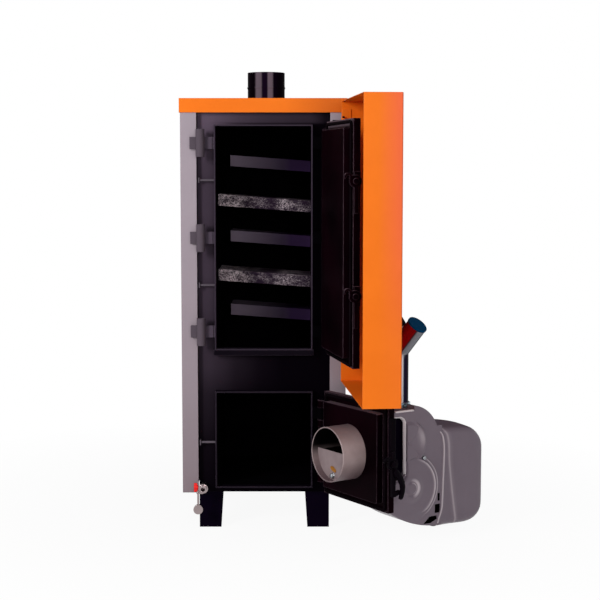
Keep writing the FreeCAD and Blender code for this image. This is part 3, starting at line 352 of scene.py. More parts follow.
# painted highlight: the collars' front faces lighter, more so high up
COLLAR_FRONT_LIGHT = ((0.064, 0.047, 0.070),
                [("Y", [(-0.38, 1.0), (-0.3704, 1.0), (-0.3694, 0.0), (-0.3, 0.0)]),
                 ("Z", [(0.1, 0.2), (0.55, 0.25), (0.66, 0.6), (1.0, 1.0), (1.6, 1.0)])])
DOOR = {"dark": (0.0008, 0.0001, 0.0005), "light": (0.0046, 0.0004, 0.0018), "rough": (0.4, 0.5),
        "peel": 0.12, "edge": 0.004, "spread": 4.0, "patchy": 0.45, "gloss": (1.0, 0.25, 0.5)}
# painted light on the top edge of the inner door
DOOR_TOP_LIGHT = ((0.11, 0.078, 0.095), [("Z", [(0.6, 0.0), (1.516, 0.0), (1.522, 1.0), (1.6, 1.0)]),
                                   ("Y", [(-0.9, 0.0), (-0.80, 0.0), (-0.788, 1.0), (-0.3, 1.0)])])

painted("black_paint", (0.0012, 0.0003, 0.0032), (0.0032, 0.0008, 0.0062), (0.42, 0.56), 0.1, spec=0.01,
        edge=0.003, wear_and_highlight=(0.022, 0.016, 0.024))
graded("front_wall", (0.0009, 0.0001, 0.0014), (0.112, 0.080, 0.116), WALL_LIT_AREA, (0.5, 0.65), 0.1, 0.01,
       WALL_LIT_BAND)
painted("collar_black", (0.0020, 0.0008, 0.0028), (0.0050, 0.0030, 0.0062), (0.4, 0.5), 0.1, spec=0.02,
        edge=0.0026, wear_and_highlight=(0.088, 0.066, 0.092), patchy=0.65, tint=COLLAR_FRONT_LIGHT)
# the doors' faces that look up are painted lighter, as lit from above
painted("maroon_black", **DOOR, spec=0.015, wear_and_highlight=(0.085, 0.055, 0.072), upper=(0.110, 0.072, 0.090))
painted("inner_maroon", **DOOR, spec=0.02, wear_and_highlight=(0.140, 0.090, 0.115), tint=DOOR_TOP_LIGHT)
painted("seal_rope", (0.0016, 0.0008, 0.0014), (0.0050, 0.0028, 0.0042), (0.85, 0.95), 0.7, grain=500.0,
        spec=0.01)
painted("mineral_wool", (0.028, 0.024, 0.015), (0.07, 0.06, 0.035), (0.9, 1.0), 0.8, grain=300.0, spec=0.03)
painted("black_lever", (0.0010, 0.0003, 0.0012), (0.0024, 0.0009, 0.0028), (0.25, 0.35), 0.08, spec=0.02,
        edge=0.005, wear_and_highlight=(0.012, 0.007, 0.010))

# inside of the vessel, flue, hinge fittings and drain valve

# painted light and shade along the front shelves: bright at the left, in shade further right
SHELF_LIGHT_ALONG = [(-0.18, 1.0), (-0.11, 1.1), (-0.06, 0.42), (0.03, 0.22), (0.08, 0.6), (0.12, 0.45),
               (0.18, 0.2)]
# painted light on the rear shelves: lighter at the left, in shade towards the right
SLATE_LIT_AREA = [("X", [(-0.12, 1.0), (0.0, 0.45), (0.10, 0.04)])]
# painted shade on the lugs right of the upright bar
LUG_ARM_SHADE = ((0.064, 0.048, 0.068), [("X", [(-0.24, 0.0), (-0.2185, 0.0), (-0.217, 1.0), (-0.18, 1.0)])])
FLUE_BLACK = [(0.0, (0.002, 0.0005, 0.002)), (1.0, (0.004, 0.001, 0.005))]
# painted highlights: two bright bars down the flue above FLUE_FOOT, where the lamps would be reflected
FLUE_HIGHLIGHT_BARS = [(0.0, (0.002, 0.0005, 0.002)), (0.20, (0.002, 0.0005, 0.002)), (0.25, (0.12, 0.096, 0.124)),
              (0.37, (0.11, 0.088, 0.114)), (0.41, (0.006, 0.002, 0.010)), (0.53, (0.006, 0.002, 0.010)),
              (0.57, (0.14, 0.112, 0.146)), (0.67, (0.14, 0.112, 0.146)), (0.71, (0.004, 0.001, 0.006)),
              (1.0, (0.002, 0.0005, 0.002))]
FLUE_FOOT = 1.6

painted("boiler_plate", (0.0004, 0.0002, 0.0006), (0.0012, 0.0008, 0.0015), (0.75, 0.9), 0.25, spec=0.01)
scaled_steel("bright_shelf", (0.013, 0.006, 0.015), (0.72, 0.60, 0.64), (0.4, 0.6), SHELF_LIGHT_ALONG)
graded("slate_shelf", (0.018, 0.004, 0.036), (0.27, 0.212, 0.28), SLATE_LIT_AREA, (0.5, 0.65), 0.3, 0.04)
painted_reflections("flue_enamel", FLUE_BLACK, FLUE_HIGHLIGHT_BARS, FLUE_FOOT, (0.4, 0.5), 0.004)
painted("lug_steel", (0.078, 0.060, 0.077), (0.092, 0.072, 0.090), (0.5, 0.6), 0.12, spec=0.05, tint=LUG_ARM_SHADE)
painted("rod_steel", (0.075, 0.060, 0.076), (0.11, 0.09, 0.11), (0.4, 0.5), 0.1, spec=0.1)
painted("nickel", (0.26, 0.205, 0.205), (0.44, 0.370, 0.375), (0.16, 0.28), 0.05, metal=1.0)
painted("red_plastic", (0.82, 0.020, 0.018), (0.92, 0.034, 0.030), (0.36, 0.44), 0.05, spec=0.1)
painted("black_rubber", (0.002, 0.0012, 0.0025), (0.005, 0.0035, 0.006), (0.5, 0.65), 0.1, spec=0.02)

# burner and its feed fitting

# the shell's faces that look up take a colour painted for the light and shade that fall on them, and its
# ridges carry painted highlights
SHELL = {"dark": (0.205, 0.162, 0.200), "light": (0.230, 0.185, 0.225), "rough": (0.30, 0.36), "peel": 0.12,
         "grain": 700.0, "spec": 0.22, "edge": 0.004, "wear_and_highlight": (0.32, 0.27, 0.30),
         "upper": (0.205, 0.160, 0.204), "ridge_highlight": (0.86, 0.76, 0.81)}
# painted shade on the housing's faces that look inward, below 0.45 m
SHELL_INSIDE_SHADE = ((0.5005, -0.461, 0.25), [(0.0, 1.0), (0.44, 1.0), (0.46, 0.0), (1.0, 0.0)])
TUBE_SOOT = ((0.301, -0.596, 0.3455), [(0.245, 0.1), (0.315, 0.3), (0.365, 1.0), (0.446, 1.0)])
# painted shade: the burner tube darker along its underside and its top
TUBE_SHADE = ((0.13, 0.082, 0.092),
              [("Z", [(0.245, 1.0), (0.28, 0.75), (0.33, 0.0), (0.39, 0.0), (0.446, 0.7)])])
# painted reflections: a pale streak and a dark side on the feed pipe, the cover's red and a grey highlight on
# the branch
PIPE_REFLECTIONS = [(0.0, (0.02, 0.01, 0.03)), (0.58, (0.16, 0.14, 0.16)), (0.63, (0.95, 0.92, 0.94)),
              (0.69, (0.95, 0.93, 0.96)), (0.73, (0.12, 0.17, 0.24)), (0.76, (0.014, 0.006, 0.03)),
              (1.0, (0.004, 0.002, 0.012))]
BRANCH_REFLECTIONS = [(0.0, (0.06, 0.001, 0.002)), (0.2, (0.27, 0.002, 0.003)), (0.42, (0.25, 0.002, 0.003)),
                (0.47, (0.04, 0.01, 0.015)), (0.53, (0.24, 0.26, 0.30)), (0.76, (0.34, 0.36, 0.40)),
                (0.82, (0.02, 0.015, 0.03)), (1.0, (0.004, 0.002, 0.010))]
BRANCH_FOOT = 0.685

painted("burner_shell", **SHELL)
painted("housing_shell", **SHELL, soot_and_shade=SHELL_INSIDE_SHADE)
painted("burner_steel", (0.34, 0.252, 0.252), (0.44, 0.336, 0.336), (0.36, 0.52), 0.15, metal=0.2,
        grain=400.0, spread=14.0, spec=0.2, edge=0.003, wear_and_highlight=(0.52, 0.44, 0.44), patchy=0.4,
        soot_and_shade=TUBE_SOOT, tint=TUBE_SHADE)
painted("moon_steel", (0.225, 0.170, 0.176), (0.275, 0.214, 0.220), (0.5, 0.65), 0.2, metal=0.1, grain=300.0,
        spread=24.0, spec=0.1)
painted("pot_iron", (0.002, 0.0014, 0.0014), (0.006, 0.004, 0.004), (0.6, 0.8), 0.4, spec=0.02)
painted("igniter_ceramic", (0.21, 0.082, 0.011), (0.33, 0.140, 0.023), (0.6, 0.7), 0.2, spec=0.1)
painted_reflections("galvanised", PIPE_REFLECTIONS, BRANCH_REFLECTIONS, BRANCH_FOOT, (0.16, 0.24), 0.02)
painted("clamp_zinc", (0.20, 0.32, 0.40), (0.42, 0.55, 0.62), (0.22, 0.34), 0.05, metal=0.8)
painted("bolt_zinc", (0.20, 0.21, 0.225), (0.34, 0.35, 0.37), (0.2, 0.3), 0.05, metal=0.8)
painted("zinc_screws", (0.20, 0.19, 0.19), (0.32, 0.31, 0.30), (0.3, 0.45), 0.05, metal=0.9)
painted("blue_plastic", (0.0003, 0.042, 0.118), (0.0006, 0.052, 0.140), (0.4, 0.5), 0.05, spec=0.005)
# painted highlight: the trims are pale where light catches the burner's edges
painted("trim_highlight", (0.93, 0.84, 0.87), (0.97, 0.89, 0.92), (0.3, 0.4), 0.1, spec=0.2)
painted("motor_case", (0.16, 0.16, 0.17), (0.24, 0.24, 0.25), (0.4, 0.5), 0.1, metal=0.8)
painted("board_case", (0.014, 0.014, 0.016), (0.022, 0.022, 0.025), (0.5, 0.6), 0.1, spec=0.25)

# finish of each CAD node: the one named here, or else the one of its material slot

FINISH = {
    "top_lid": "lid_paint", "front_plate": "front_wall", "water_shelves_rear": "slate_shelf",
    "upper_collar": "collar_black", "lower_collar": "collar_black", "keeper_rods": "rod_steel",
    "hinge_pins": "black_lever", "hinge_lugs": "boiler_plate", "inner_door_tray": "inner_maroon",
    "inner_door_liner": "inner_maroon", "inner_door_knuckles": "maroon_black",
    "inner_latch_top": "maroon_black", "inner_latch_bottom": "maroon_black",
    "inner_latch_brackets": "maroon_black", "lower_door_tray": "maroon_black",
    "lower_door_liner": "maroon_black", "lower_door_knuckles": "maroon_black",
    "lower_latch_bracket": "black_lever", "burner_half_moon": "moon_steel", "burner_housing": "housing_shell",
    "feed_clamp": "clamp_zinc", "drain_cap": "nickel",
}
for row in frame["record"]["subparts"]:
    obj = nodes[row["node"]]
    obj.data.materials.clear()
    obj.data.materials.append(MATERIALS[FINISH.get(row["node"], row["material_slot"])])

# places on the doors, in mm on a shut door, until opened makes them metres

MM_PER_METRE = 1000.0
LOWER_HINGE, LOWER_TURN = (220.0, -25.0), math.radians(124.0)
INNER_HINGE, INNER_TURN = (234.0, -25.0), math.radians(102.0)
FACE = -45.0
SIDE = -105.0
PLATE = 79.0


def opened(x, y, z, hinge, turn):
    """A point in mm on a shut door, y from the front of the jacket, moved to its open place in metres."""
    dx, dy = x - hinge[0], y - hinge[1]
    along = hinge[0] + dx * math.cos(turn) - dy * math.sin(turn)
    back = hinge[1] + dx * math.sin(turn) + dy * math.cos(turn)
    return along / MM_PER_METRE, FRONT + back / MM_PER_METRE, z / MM_PER_METRE


def on_lower(x, u, z):
    """A point on the lower door, u out from its face."""
    return opened(x, FACE - u, z, LOWER_HINGE, LOWER_TURN)


def on_plate(x, rise, z):
    """A point on the half-moon plate in the burner mouth."""
    return opened(x, PLATE + rise, z, LOWER_HINGE, LOWER_TURN)


# pieces, made of rings of points: MERGE and MOULDING_WALL are metres

MERGE = 0.00002
MOULDING_WALL = 0.003


def skin(rings, closed=True, first=False, last=False):
    """Quads between rings of equal length, numbered ring after ring, and a face over a covered end."""
    count = len(rings[0])
    total = len(rings) * count
    faces = []
    for start in range(0, total - count, count):
        for k in range(count if closed else count - 1):
            n = (k + 1) % count
            faces.append((start + k, start + n, start + count + n, start + count + k))
    if first:
        faces.append(tuple(range(count)))
    if last:
        faces.append(tuple(range(total - count, total)))
    return faces


def piece(name, rings, faces, slot, body, finish=None, highlight=None):
    """highlight gives the painted highlight along the ridges, one value for each point of each ring."""
    mesh = bpy.data.meshes.new(name)
    mesh.from_pydata([point for ring in rings for point in ring], [], faces)
    if highlight:
        values = [gleam for gleams in highlight for gleam in gleams]
        mesh.attributes.new("highlight", "FLOAT", "POINT").data.foreach_set("value", values)
    work = bmesh.new()
    work.from_mesh(mesh)
    bmesh.ops.remove_doubles(work, verts=work.verts, dist=MERGE)
    bmesh.ops.recalc_face_normals(work, faces=work.faces)
    work.to_mesh(mesh)
    work.free()
    for face in mesh.polygons:
        face.use_smooth = True
    obj = bpy.data.objects.new(name, mesh)
    bpy.context.scene.collection.objects.link(obj)
    mesh.materials.append(MATERIALS[finish or slot])
    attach(obj, body)
    return obj


def thicken(obj):
    wall = obj.modifiers.new("wall", "SOLIDIFY")
    wall.thickness = MOULDING_WALL
    wall.offset = -1.0


def soften(obj):
    smooth = obj.modifiers.new("smooth", "SUBSURF")
    smooth.levels = 1
    smooth.render_levels = 1


def between(start, end, runs):
    """The points inside a straight line that is cut into runs."""
    (x0, z0), (x1, z1) = start, end
    return [(x0 + (x1 - x0) * k / runs, z0 + (z1 - z0) * k / runs) for k in range(1, runs)]


def around(centre, radius, turn):
    """The point at a radius and a turn from a centre."""
    return centre[0] + radius * math.cos(turn), centre[1] + radius * math.sin(turn)


CORNER_STEPS, UPRIGHT_RUNS, LEVEL_RUNS = 6, 10, 5
LEAST_FLAT = 1.0


def rounded_ring(half, low, high, radius, top_radius):
    """Points of a rectangle with round corners, anticlockwise from the right of the lower edge."""
    most = min(half, (high - low) / 2) - LEAST_FLAT
    r, t = min(radius, most), min(top_radius, most)
    corners = [((half - r, low + r), r, -90.0), ((half - t, high - t), t, 0.0),
               ((-half + t, high - t), t, 90.0), ((-half + r, low + r), r, 180.0)]
    points = []
    for i, (centre, size, start) in enumerate(corners):
        for k in range(CORNER_STEPS + 1):
            points.append(around(centre, size, math.radians(start + 90.0 * k / CORNER_STEPS)))
        next_centre, next_size, next_start = corners[(i + 1) % 4]
        end = around(next_centre, next_size, math.radians(next_start))
        points.extend(between(points[-1], end, LEVEL_RUNS if i % 2 else UPRIGHT_RUNS))
    return points


# burner hood: a rim bead, a flared band, a soft crease and a crowned body

HOOD_NEAR, HOOD_FAR, HOOD_HALF = 298.0, 507.0, 108.3
UNDER, UNDER_SLOPE, UNDER_ROUND = 36.0, -0.02, 75.0
TOP, TOP_SLOPE, TOP_ROUND = 412.0, -0.08, 85.0
LOWER_CORNER, UPPER_CORNER, FAR_CORNER = 34.0, 28.0, 30.0
CROWN_RISE, CROWN_START, CROWN_RUN, CROWN_ABOVE = 9.0, 300.0, 90.0, 230.0
END_HALF, END_SHARES, END_GAP = 78.0, (0.55, 0.15), 0.1
MOUTH, MOUTH_HALF, MOUTH_GAP = 293.0, 104.6, 2.0
RIM, RIM_LEAN, RIM_BEND, RIM_STATION = 303.0, 0.041, 3.5, 300.0
RIM_UPPER, RIM_TOP, RIM_BACK, RIM_RISE = 320.0, 405.0, 32.0, 94.0
RIM_LOWER, RIM_FOOT, RIM_TUCK = 96.0, 74.0, 16.0
CREASE, CREASE_FLARE, CREASE_FALL, CREASE_STATION = 324.0, 33.0, 255.0, 320.0
CREASE_UPPER, CREASE_TOP, CREASE_BACK, CREASE_RISE = 330.0, 400.0, 29.0, 68.0
CREASE_CURVE, CREASE_BEND = 1.3, 2.4
BAND_LEAST = 23.0
# the third column is the painted highlight on the rim bead and the crease
RIM_ROWS = ((0.0, 105.4, 0.0), (0.3, 108.4, 0.35), (2.6, 110.6, 0.8), (6.0, 110.2, 0.55), (8.5, 107.6, 0.0),
            (13.0, 106.4, 0.0))
CREASE_ROWS = ((-9.0, 106.0, 0.0), (-2.5, 107.8, 0.05), (3.0, 110.4, 0.4), (8.0, 110.8, 0.1),
               (16.0, 110.9, 0.0))
BODY_ROWS = ((400.0, 111.0), (440.0, 110.4), (468.0, 109.0))
CORNER_TURNS = (20.0, 42.0, 62.0, 80.0)


def drawn_in(u, radius):
    """How far a corner of that radius, which ends at the far side, has left the straight line at u.

    It stops END_GAP short of its full turn."""
    over = max(0.0, min(u - (HOOD_FAR - radius), radius - END_GAP))
    return radius - math.sqrt(radius ** 2 - over ** 2)


def hood_low(u):
    return UNDER + UNDER_SLOPE * (u - HOOD_NEAR) + drawn_in(u, UNDER_ROUND)


def hood_high(u):
    return TOP + TOP_SLOPE * (u - HOOD_NEAR) - drawn_in(u, TOP_ROUND)


def rim_u(z):
    """The rim leans a little, and bends to the door at its top and its foot."""
    if z > RIM_UPPER:
        return RIM - RIM_BACK * ((min(z, RIM_TOP) - RIM_UPPER) / RIM_RISE) ** RIM_BEND
    low = max(z, RIM_FOOT)
    tuck = max(0.0, RIM_LOWER - low) / (RIM_LOWER - RIM_FOOT)
    return RIM - RIM_LEAN * (RIM_UPPER - low) - RIM_TUCK * tuck ** 2


def crease_u(z):
    """The crease flares from the rim on its way down, and bends to the door at its top."""
    flare = CREASE_FLARE * ((CREASE_UPPER - min(z, CREASE_UPPER)) / CREASE_FALL) ** CREASE_CURVE
    back = CREASE_BACK * (max(min(z, CREASE_TOP) - CREASE_UPPER, 0.0) / CREASE_RISE) ** CREASE_BEND
    return max(CREASE + flare - back, rim_u(z) + BAND_LEAST)


def hood_rows():
    """Each row's line of u by height, its half width, the u that its outline is read at, and its painted
    highlight.
    """
    rows = [(lambda z: min(rim_u(z) - MOUTH_GAP, MOUTH), MOUTH_HALF, RIM_STATION, 0.0)]
    for offset, half, gleam in RIM_ROWS:
        rows.append((lambda z, o=offset: rim_u(z) + o, half, RIM_STATION, gleam))
    for offset, half, gleam in CREASE_ROWS:
        rows.append((lambda z, o=offset: crease_u(z) + o, half, CREASE_STATION, gleam))
    straight = list(BODY_ROWS)
    for turn in CORNER_TURNS:
        a = math.radians(turn)
        straight.append((HOOD_FAR - FAR_CORNER + FAR_CORNER * math.sin(a),
                         HOOD_HALF - FAR_CORNER + FAR_CORNER * math.cos(a)))
    for u, half in straight:
        rows.append((lambda z, o=u: o, half, u, 0.0))
    return rows


def make_hood():
    rings, highlight = [], []
    for line, half, u, gleam in hood_rows():
        outline = rounded_ring(half, hood_low(u), hood_high(u), LOWER_CORNER, UPPER_CORNER)
        rise = CROWN_RISE * min(1.0, (u - CROWN_START) / CROWN_RUN)
        ring = []
        for x, z in outline:
            if z > CROWN_ABOVE:
                z += rise * (1.0 - (x / half) ** 2)
            ring.append(on_lower(x, line(z), z))
        rings.append(ring)
        highlight.append([gleam] * len(ring))
    low, high = hood_low(HOOD_FAR), hood_high(HOOD_FAR)
    for share in END_SHARES:
        mid, reach, corner = (low + high) / 2, (high - low) / 2 * share, FAR_CORNER * share
        outline = rounded_ring(END_HALF * share, mid - reach, mid + reach, corner, corner)
        rings.append([on_lower(x, HOOD_FAR, z) for x, z in outline])
        highlight.append([0.0] * len(outline))
    obj = piece("hood_moulding", rings, skin(rings, last=True), "burner_shell", "lower_door", highlight=highlight)
    thicken(obj)
    soften(obj)
    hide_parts("burner_hood")


# fan cover on the left side of the burner, cut short by the recess beside the flange

RECESS_FAR, RECESS_LOW, RECESS_HIGH, RECESS_ROUND = 131.4, 235.6, 478.4, 34.4
CASING_UNDERSIDE = ((8.0, 160.0), (147.0, 74.0), (297.7, 47.0))
CASING_LIP, FLANGE = 1.5, 9.0
FAN_CENTRE, FAN_POINTS, FAN_STEP = (148.0, 204.0), 144, 0.25
DISC, DISC_HIGH = 94.0, 8.0
RIDGE_MIDDLE, RIDGE_REACH, RIDGE_FADE = 0.1, 57.0, 14.0
FAN_LIGHT, FAN_GLEAM, FAN_LIP = 0.15, 0.7, 0.5
FAN_PROFILE = (
    (0.4, 15.6, 0), (10, 15.6, 0), (16, 15.2, 0), (19, 14.4, 0.45), (21, 12.6, 0.9), (23, 10.2, 0.2),
    (25, 9.4, 0), (28, 10.4, 0.6), (32, 13.2, 0.75), (36, 14.6, 0.35), (40, 14.4, 0), (45, 12.2, 0),
    (51, 9.6, 0), (57, 8.4, 0), (60, 7.6, 0), (63, 8.2, 0), (78, 7.8, 0), (94, 8.0, 0), (101, 8.8, 0),
    (105, 10.8, 0.15), (108, 13.0, 0.75), (110.5, 13.6, 0.6), (112.5, 12.0, 0), (114, 8.8, 0),
    (116, 6.2, 0), (119, 6.0, 0), (121.5, 7.6, 0.2), (123.5, 9.0, 0.6), (125.5, 8.6, 0.35), (127, 5.4, 0),
    (128, 1.6, 0), (131, 0.8, 0), (131.4, 0.0, 0))


def circle(a, b, c):
    """Centre and radius of the circle through three points."""
    d = 2.0 * (a[0] * (b[1] - c[1]) + b[0] * (c[1] - a[1]) + c[0] * (a[1] - b[1]))
    sa, sb, sc = (p[0] ** 2 + p[1] ** 2 for p in (a, b, c))
    x = (sa * (b[1] - c[1]) + sb * (c[1] - a[1]) + sc * (a[1] - b[1])) / d
    y = (sa * (c[0] - b[0]) + sb * (a[0] - c[0]) + sc * (b[0] - a[0])) / d
    return x, y, math.hypot(a[0] - x, a[1] - y)


ARCH_U, ARCH_Z, ARCH_RADIUS = circle(*CASING_UNDERSIDE)


def in_recess(u, z):
    if u > RECESS_FAR or z < RECESS_LOW or z > RECESS_HIGH:
        return False
    du = u - (RECESS_FAR - RECESS_ROUND)
    dz = max(RECESS_LOW + RECESS_ROUND - z, z - RECESS_HIGH + RECESS_ROUND)
    if du > 0.0 and dz > 0.0:
        return math.hypot(du, dz) < RECESS_ROUND
    return True


def off_casing(u, z):
    """Behind the flange, or below the arched underside of the casing."""
    below = z < ARCH_Z and math.hypot(u - ARCH_U, z - ARCH_Z) > ARCH_RADIUS - CASING_LIP
    return u < FLANGE or below


def free_reach(a, limit):
    """How far the casing's side goes on from the fan's centre at angle a."""
    r = 0.0
    while r < limit:
        u, z = around(FAN_CENTRE, r, a)
        if in_recess(u, z) or off_casing(u, z):
            break
        r += FAN_STEP
    return r


def make_fan_cover():
    """Hub, a bulge round it, a flat disc and two ridges, on a thin plate that covers the fan opening.

    FAN_PROFILE holds radius, height and painted highlight. The ridges sink into the plate towards the door.
    RIDGE_MIDDLE and FAN_LIGHT are radians, RIDGE_REACH and RIDGE_FADE degrees."""
    limit = FAN_PROFILE[-1][0]
    rings = [[] for _ in FAN_PROFILE]
    highlight = [[] for _ in FAN_PROFILE]
    for k in range(FAN_POINTS):
        a = 2.0 * math.pi * k / FAN_POINTS
        reach = free_reach(a, limit)
        off = a - RIDGE_MIDDLE
        turn = abs(math.degrees(math.atan2(math.sin(off), math.cos(off))))
        sunk = max(0.0, min((turn - RIDGE_REACH) / RIDGE_FADE, 1.0))
        # the painted highlight is strongest on the side that faces the light
        bright = max(0.0, math.cos(a - FAN_LIGHT)) ** FAN_GLEAM
        for ring, gleams, (radius, height, gleam) in zip(rings, highlight, FAN_PROFILE):
            if radius > DISC:
                height += sunk * (DISC_HIGH * (limit - radius) / (limit - DISC) - height)
                gleam *= 1.0 - sunk
            rise = 0.0 if radius > reach + FAN_LIP else height
            ring.append(on_lower(SIDE - rise, *around(FAN_CENTRE, min(radius, reach), a)))
            gleams.append(gleam * bright)
    obj = piece("fan_cover_moulding", rings, skin(rings), "burner_shell", "lower_door", highlight=highlight)
    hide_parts("burner_fan_cover")


# swelling over the boss: a sector from the lip of the recess to a sharp outer edge

BOSS, BOSS_RADIUS, BOSS_LIP = (126.0, 374.0), 90.0, 132.0
BOSS_START, BOSS_SWEEP, BOSS_STEPS = -62.0, 132.0, 72
BOSS_FADES, BOSS_SINK, BOSS_LEAST = (14.0, 22.0), 16.0, 0.2
BOSS_LIGHT, BOSS_NARROW, BOSS_GLEAM = 0.25, 1.6, 3
BOSS_PROFILE = (
    (0.0, 9.2, 0.0), (0.25, 9.3, 0.0), (0.45, 9.8, 0.0), (0.6, 11.2, 0.1), (0.72, 13.4, 0.35),
    (0.82, 15.4, 0.35), (0.88, 16.0, 0.1), (0.925, 15.0, 0.0), (0.96, 11.4, 0.0), (0.98, 7.6, 0.0),
    (1.0, 3.0, 0.0))


def make_boss_crown():
    """BOSS_PROFILE holds the share of the way out, the height and the painted highlight.

    BOSS_LIGHT is radians, BOSS_START and BOSS_SWEEP are degrees."""
    rings = [[] for _ in BOSS_PROFILE]
    highlight = [[] for _ in BOSS_PROFILE]
    for k in range(BOSS_STEPS + 1):
        a = math.radians(BOSS_START + BOSS_SWEEP * k / BOSS_STEPS)
        near = (BOSS_LIP - BOSS[0]) / math.cos(a)
        fade = min(1.0, k / BOSS_FADES[0], (BOSS_STEPS - k) / BOSS_FADES[1])
        # the painted highlight is strongest on the side that faces the light
        bright = max(0.0, math.cos(BOSS_NARROW * (a - BOSS_LIGHT))) ** BOSS_GLEAM
        for ring, gleams, (share, height, gleam) in zip(rings, highlight, BOSS_PROFILE):
            r = near + (BOSS_RADIUS - near) * share
            rise = max(height - BOSS_SINK * (1.0 - fade), BOSS_LEAST)
            ring.append(on_lower(SIDE - rise, *around(BOSS, r, a)))
            gleams.append(gleam * bright)
    thicken(piece("boss_crown", rings, skin(rings, closed=False), "burner_shell", "lower_door", highlight=highlight))


# trims of the burner, painted pale as highlights: a chamfered strip inside the lip of the recess, and one
# under the feed pipe

TRIM_FAR, TRIM_LOW, TRIM_HIGH, TRIM_BEND = 125.6, 249.0, 472.6, 28.6
TRIM_START, TRIM_STEP = 70.0, 6.0
TRIM_LEVEL_STEPS, TRIM_BEND_STEPS, TRIM_DOWN_STEPS = 5, 12, 10
TRIM_LEAST, TRIM_WIDENING = 0.45, 180.0
TRIM_SECTION = ((-105.0, 1.3), (-105.8, 0.7), (-105.2, -0.4), (-97.0, -5.4), (-95.0, -5.8), (-92.0, -5.4),
                (-92.0, 1.3))
NOTCH_START, NOTCH_STEP, NOTCH_STEPS = 78.0, 8.5, 10
NOTCH_SECTION = ((-105.0, 488.5), (-106.0, 489.5), (-106.0, 491.6), (-103.0, 494.6), (-99.0, 494.8),
                 (-99.0, 492.0))


def direction(before, after):
    """Along the line between two points, at length one."""
    du, dz = after[0] - before[0], after[1] - before[1]
    size = math.hypot(du, dz)
    return du / size, dz / size


def trim_width(z):
    """The strip narrows on its way down."""
    return TRIM_LEAST + (1.0 - TRIM_LEAST) * max(0.0, min((z - TRIM_LOW) / TRIM_WIDENING, 1.0))


def make_recess_trim():
    path = [(TRIM_START + TRIM_STEP * k, TRIM_HIGH) for k in range(TRIM_LEVEL_STEPS)]
    bend = (TRIM_FAR - TRIM_BEND, TRIM_HIGH - TRIM_BEND)
    for k in range(TRIM_BEND_STEPS + 1):
        path.append(around(bend, TRIM_BEND, math.radians(90.0 - 90.0 * k / TRIM_BEND_STEPS)))
    run = bend[1] - TRIM_LOW
    for k in range(1, TRIM_DOWN_STEPS + 1):
        path.append((TRIM_FAR, bend[1] - run * k / TRIM_DOWN_STEPS))
    rings = []
    for i, (u, z) in enumerate(path):
        du, dz = direction(path[max(i - 1, 0)], path[min(i + 1, len(path) - 1)])
        ring = []
        for x, out in TRIM_SECTION:
            reach = out * trim_width(z) if out < 0.0 else out
            ring.append(on_lower(x, u - dz * reach, z + du * reach))
        rings.append(ring)
    piece("recess_trim", rings, skin(rings, first=True, last=True), "burner_shell", "lower_door", "trim_highlight")


def make_notch_trim():
    rings = []
    for k in range(NOTCH_STEPS + 1):
        rings.append([on_lower(x, NOTCH_START + NOTCH_STEP * k, z) for x, z in NOTCH_SECTION])
    piece("notch_trim", rings, skin(rings, first=True, last=True), "burner_shell", "lower_door", "trim_highlight")


# grip of the lower latch: the lever bends away from the door

GRIP_LOW, GRIP_HIGH = -234.0, -222.0
GRIP_ROUNDING = ((0.0, 2.4), (0.9, 0.9), (2.6, 0.0))
GRIP = (
    (-20, 320), (-8, 314), (4, 302), (14, 287), (22, 269), (25, 250), (23, 232), (18, 216), (13, 207),
    (6, 204.5), (0, 208), (1, 216), (5, 229), (6, 243), (4, 257), (-2, 269), (-9, 280), (-17, 290),
    (-24, 300))


def make_latch_grip():
    """The outline, rounded over at both sides."""
    sides = [(GRIP_LOW + depth, inset) for depth, inset in GRIP_ROUNDING]
    sides.extend([(GRIP_HIGH - depth, inset) for depth, inset in reversed(GRIP_ROUNDING)])
    rings = []
    for x, inset in sides:
        ring = []
        for i, (u, z) in enumerate(GRIP):
            du, dz = direction(GRIP[i - 1], GRIP[(i + 1) % len(GRIP)])
            ring.append(on_lower(x, u + inset * dz, z - inset * du))
        rings.append(ring)
    piece("lower_latch_grip", rings, skin(rings, first=True, last=True), "black_lever", "lower_latch")


# sealing ropes: a twisted rope round each door, on the line of the collar's edge

ROPE_HALF, ROPE_BACK, ROPE_FRONT, ROPE_INSET = 181.5, -20.0, -10.4, 2.5
ROPE_WIDE, ROPE_BEND, ROPE_PITCH, ROPE_STEP = 5.9, 9.0, 13.0, 3.2
UPPER_COLLAR, LOWER_COLLAR = (689.0, 1534.0), (160.0, 531.0)
ROPE_POINTS, ROPE_STRANDS, STRAND_DEPTH, BEND_STEPS = 16, 4.0, 0.1, 5


def rope_line(low, high):
    """Points and outward directions along a rectangle with round corners."""
    across, foot, head = ROPE_HALF - ROPE_BEND, low + ROPE_BEND, high - ROPE_BEND
    corners = [((across, foot), -90.0), ((across, head), 0.0), ((-across, head), 90.0),
               ((-across, foot), 180.0)]
    points = []
    for i, (centre, start) in enumerate(corners):
        for k in range(BEND_STEPS + 1):
            a = math.radians(start + 90.0 * k / BEND_STEPS)
            points.append((*around(centre, ROPE_BEND, a), math.cos(a), math.sin(a)))
        next_centre, next_start = corners[(i + 1) % 4]
        a = math.radians(next_start)
        last, end = points[-1][:2], around(next_centre, ROPE_BEND, a)
        runs = int(math.dist(last, end) / ROPE_STEP)
        points.extend([(x, z, math.cos(a), math.sin(a)) for x, z in between(last, end, runs)])
    return points


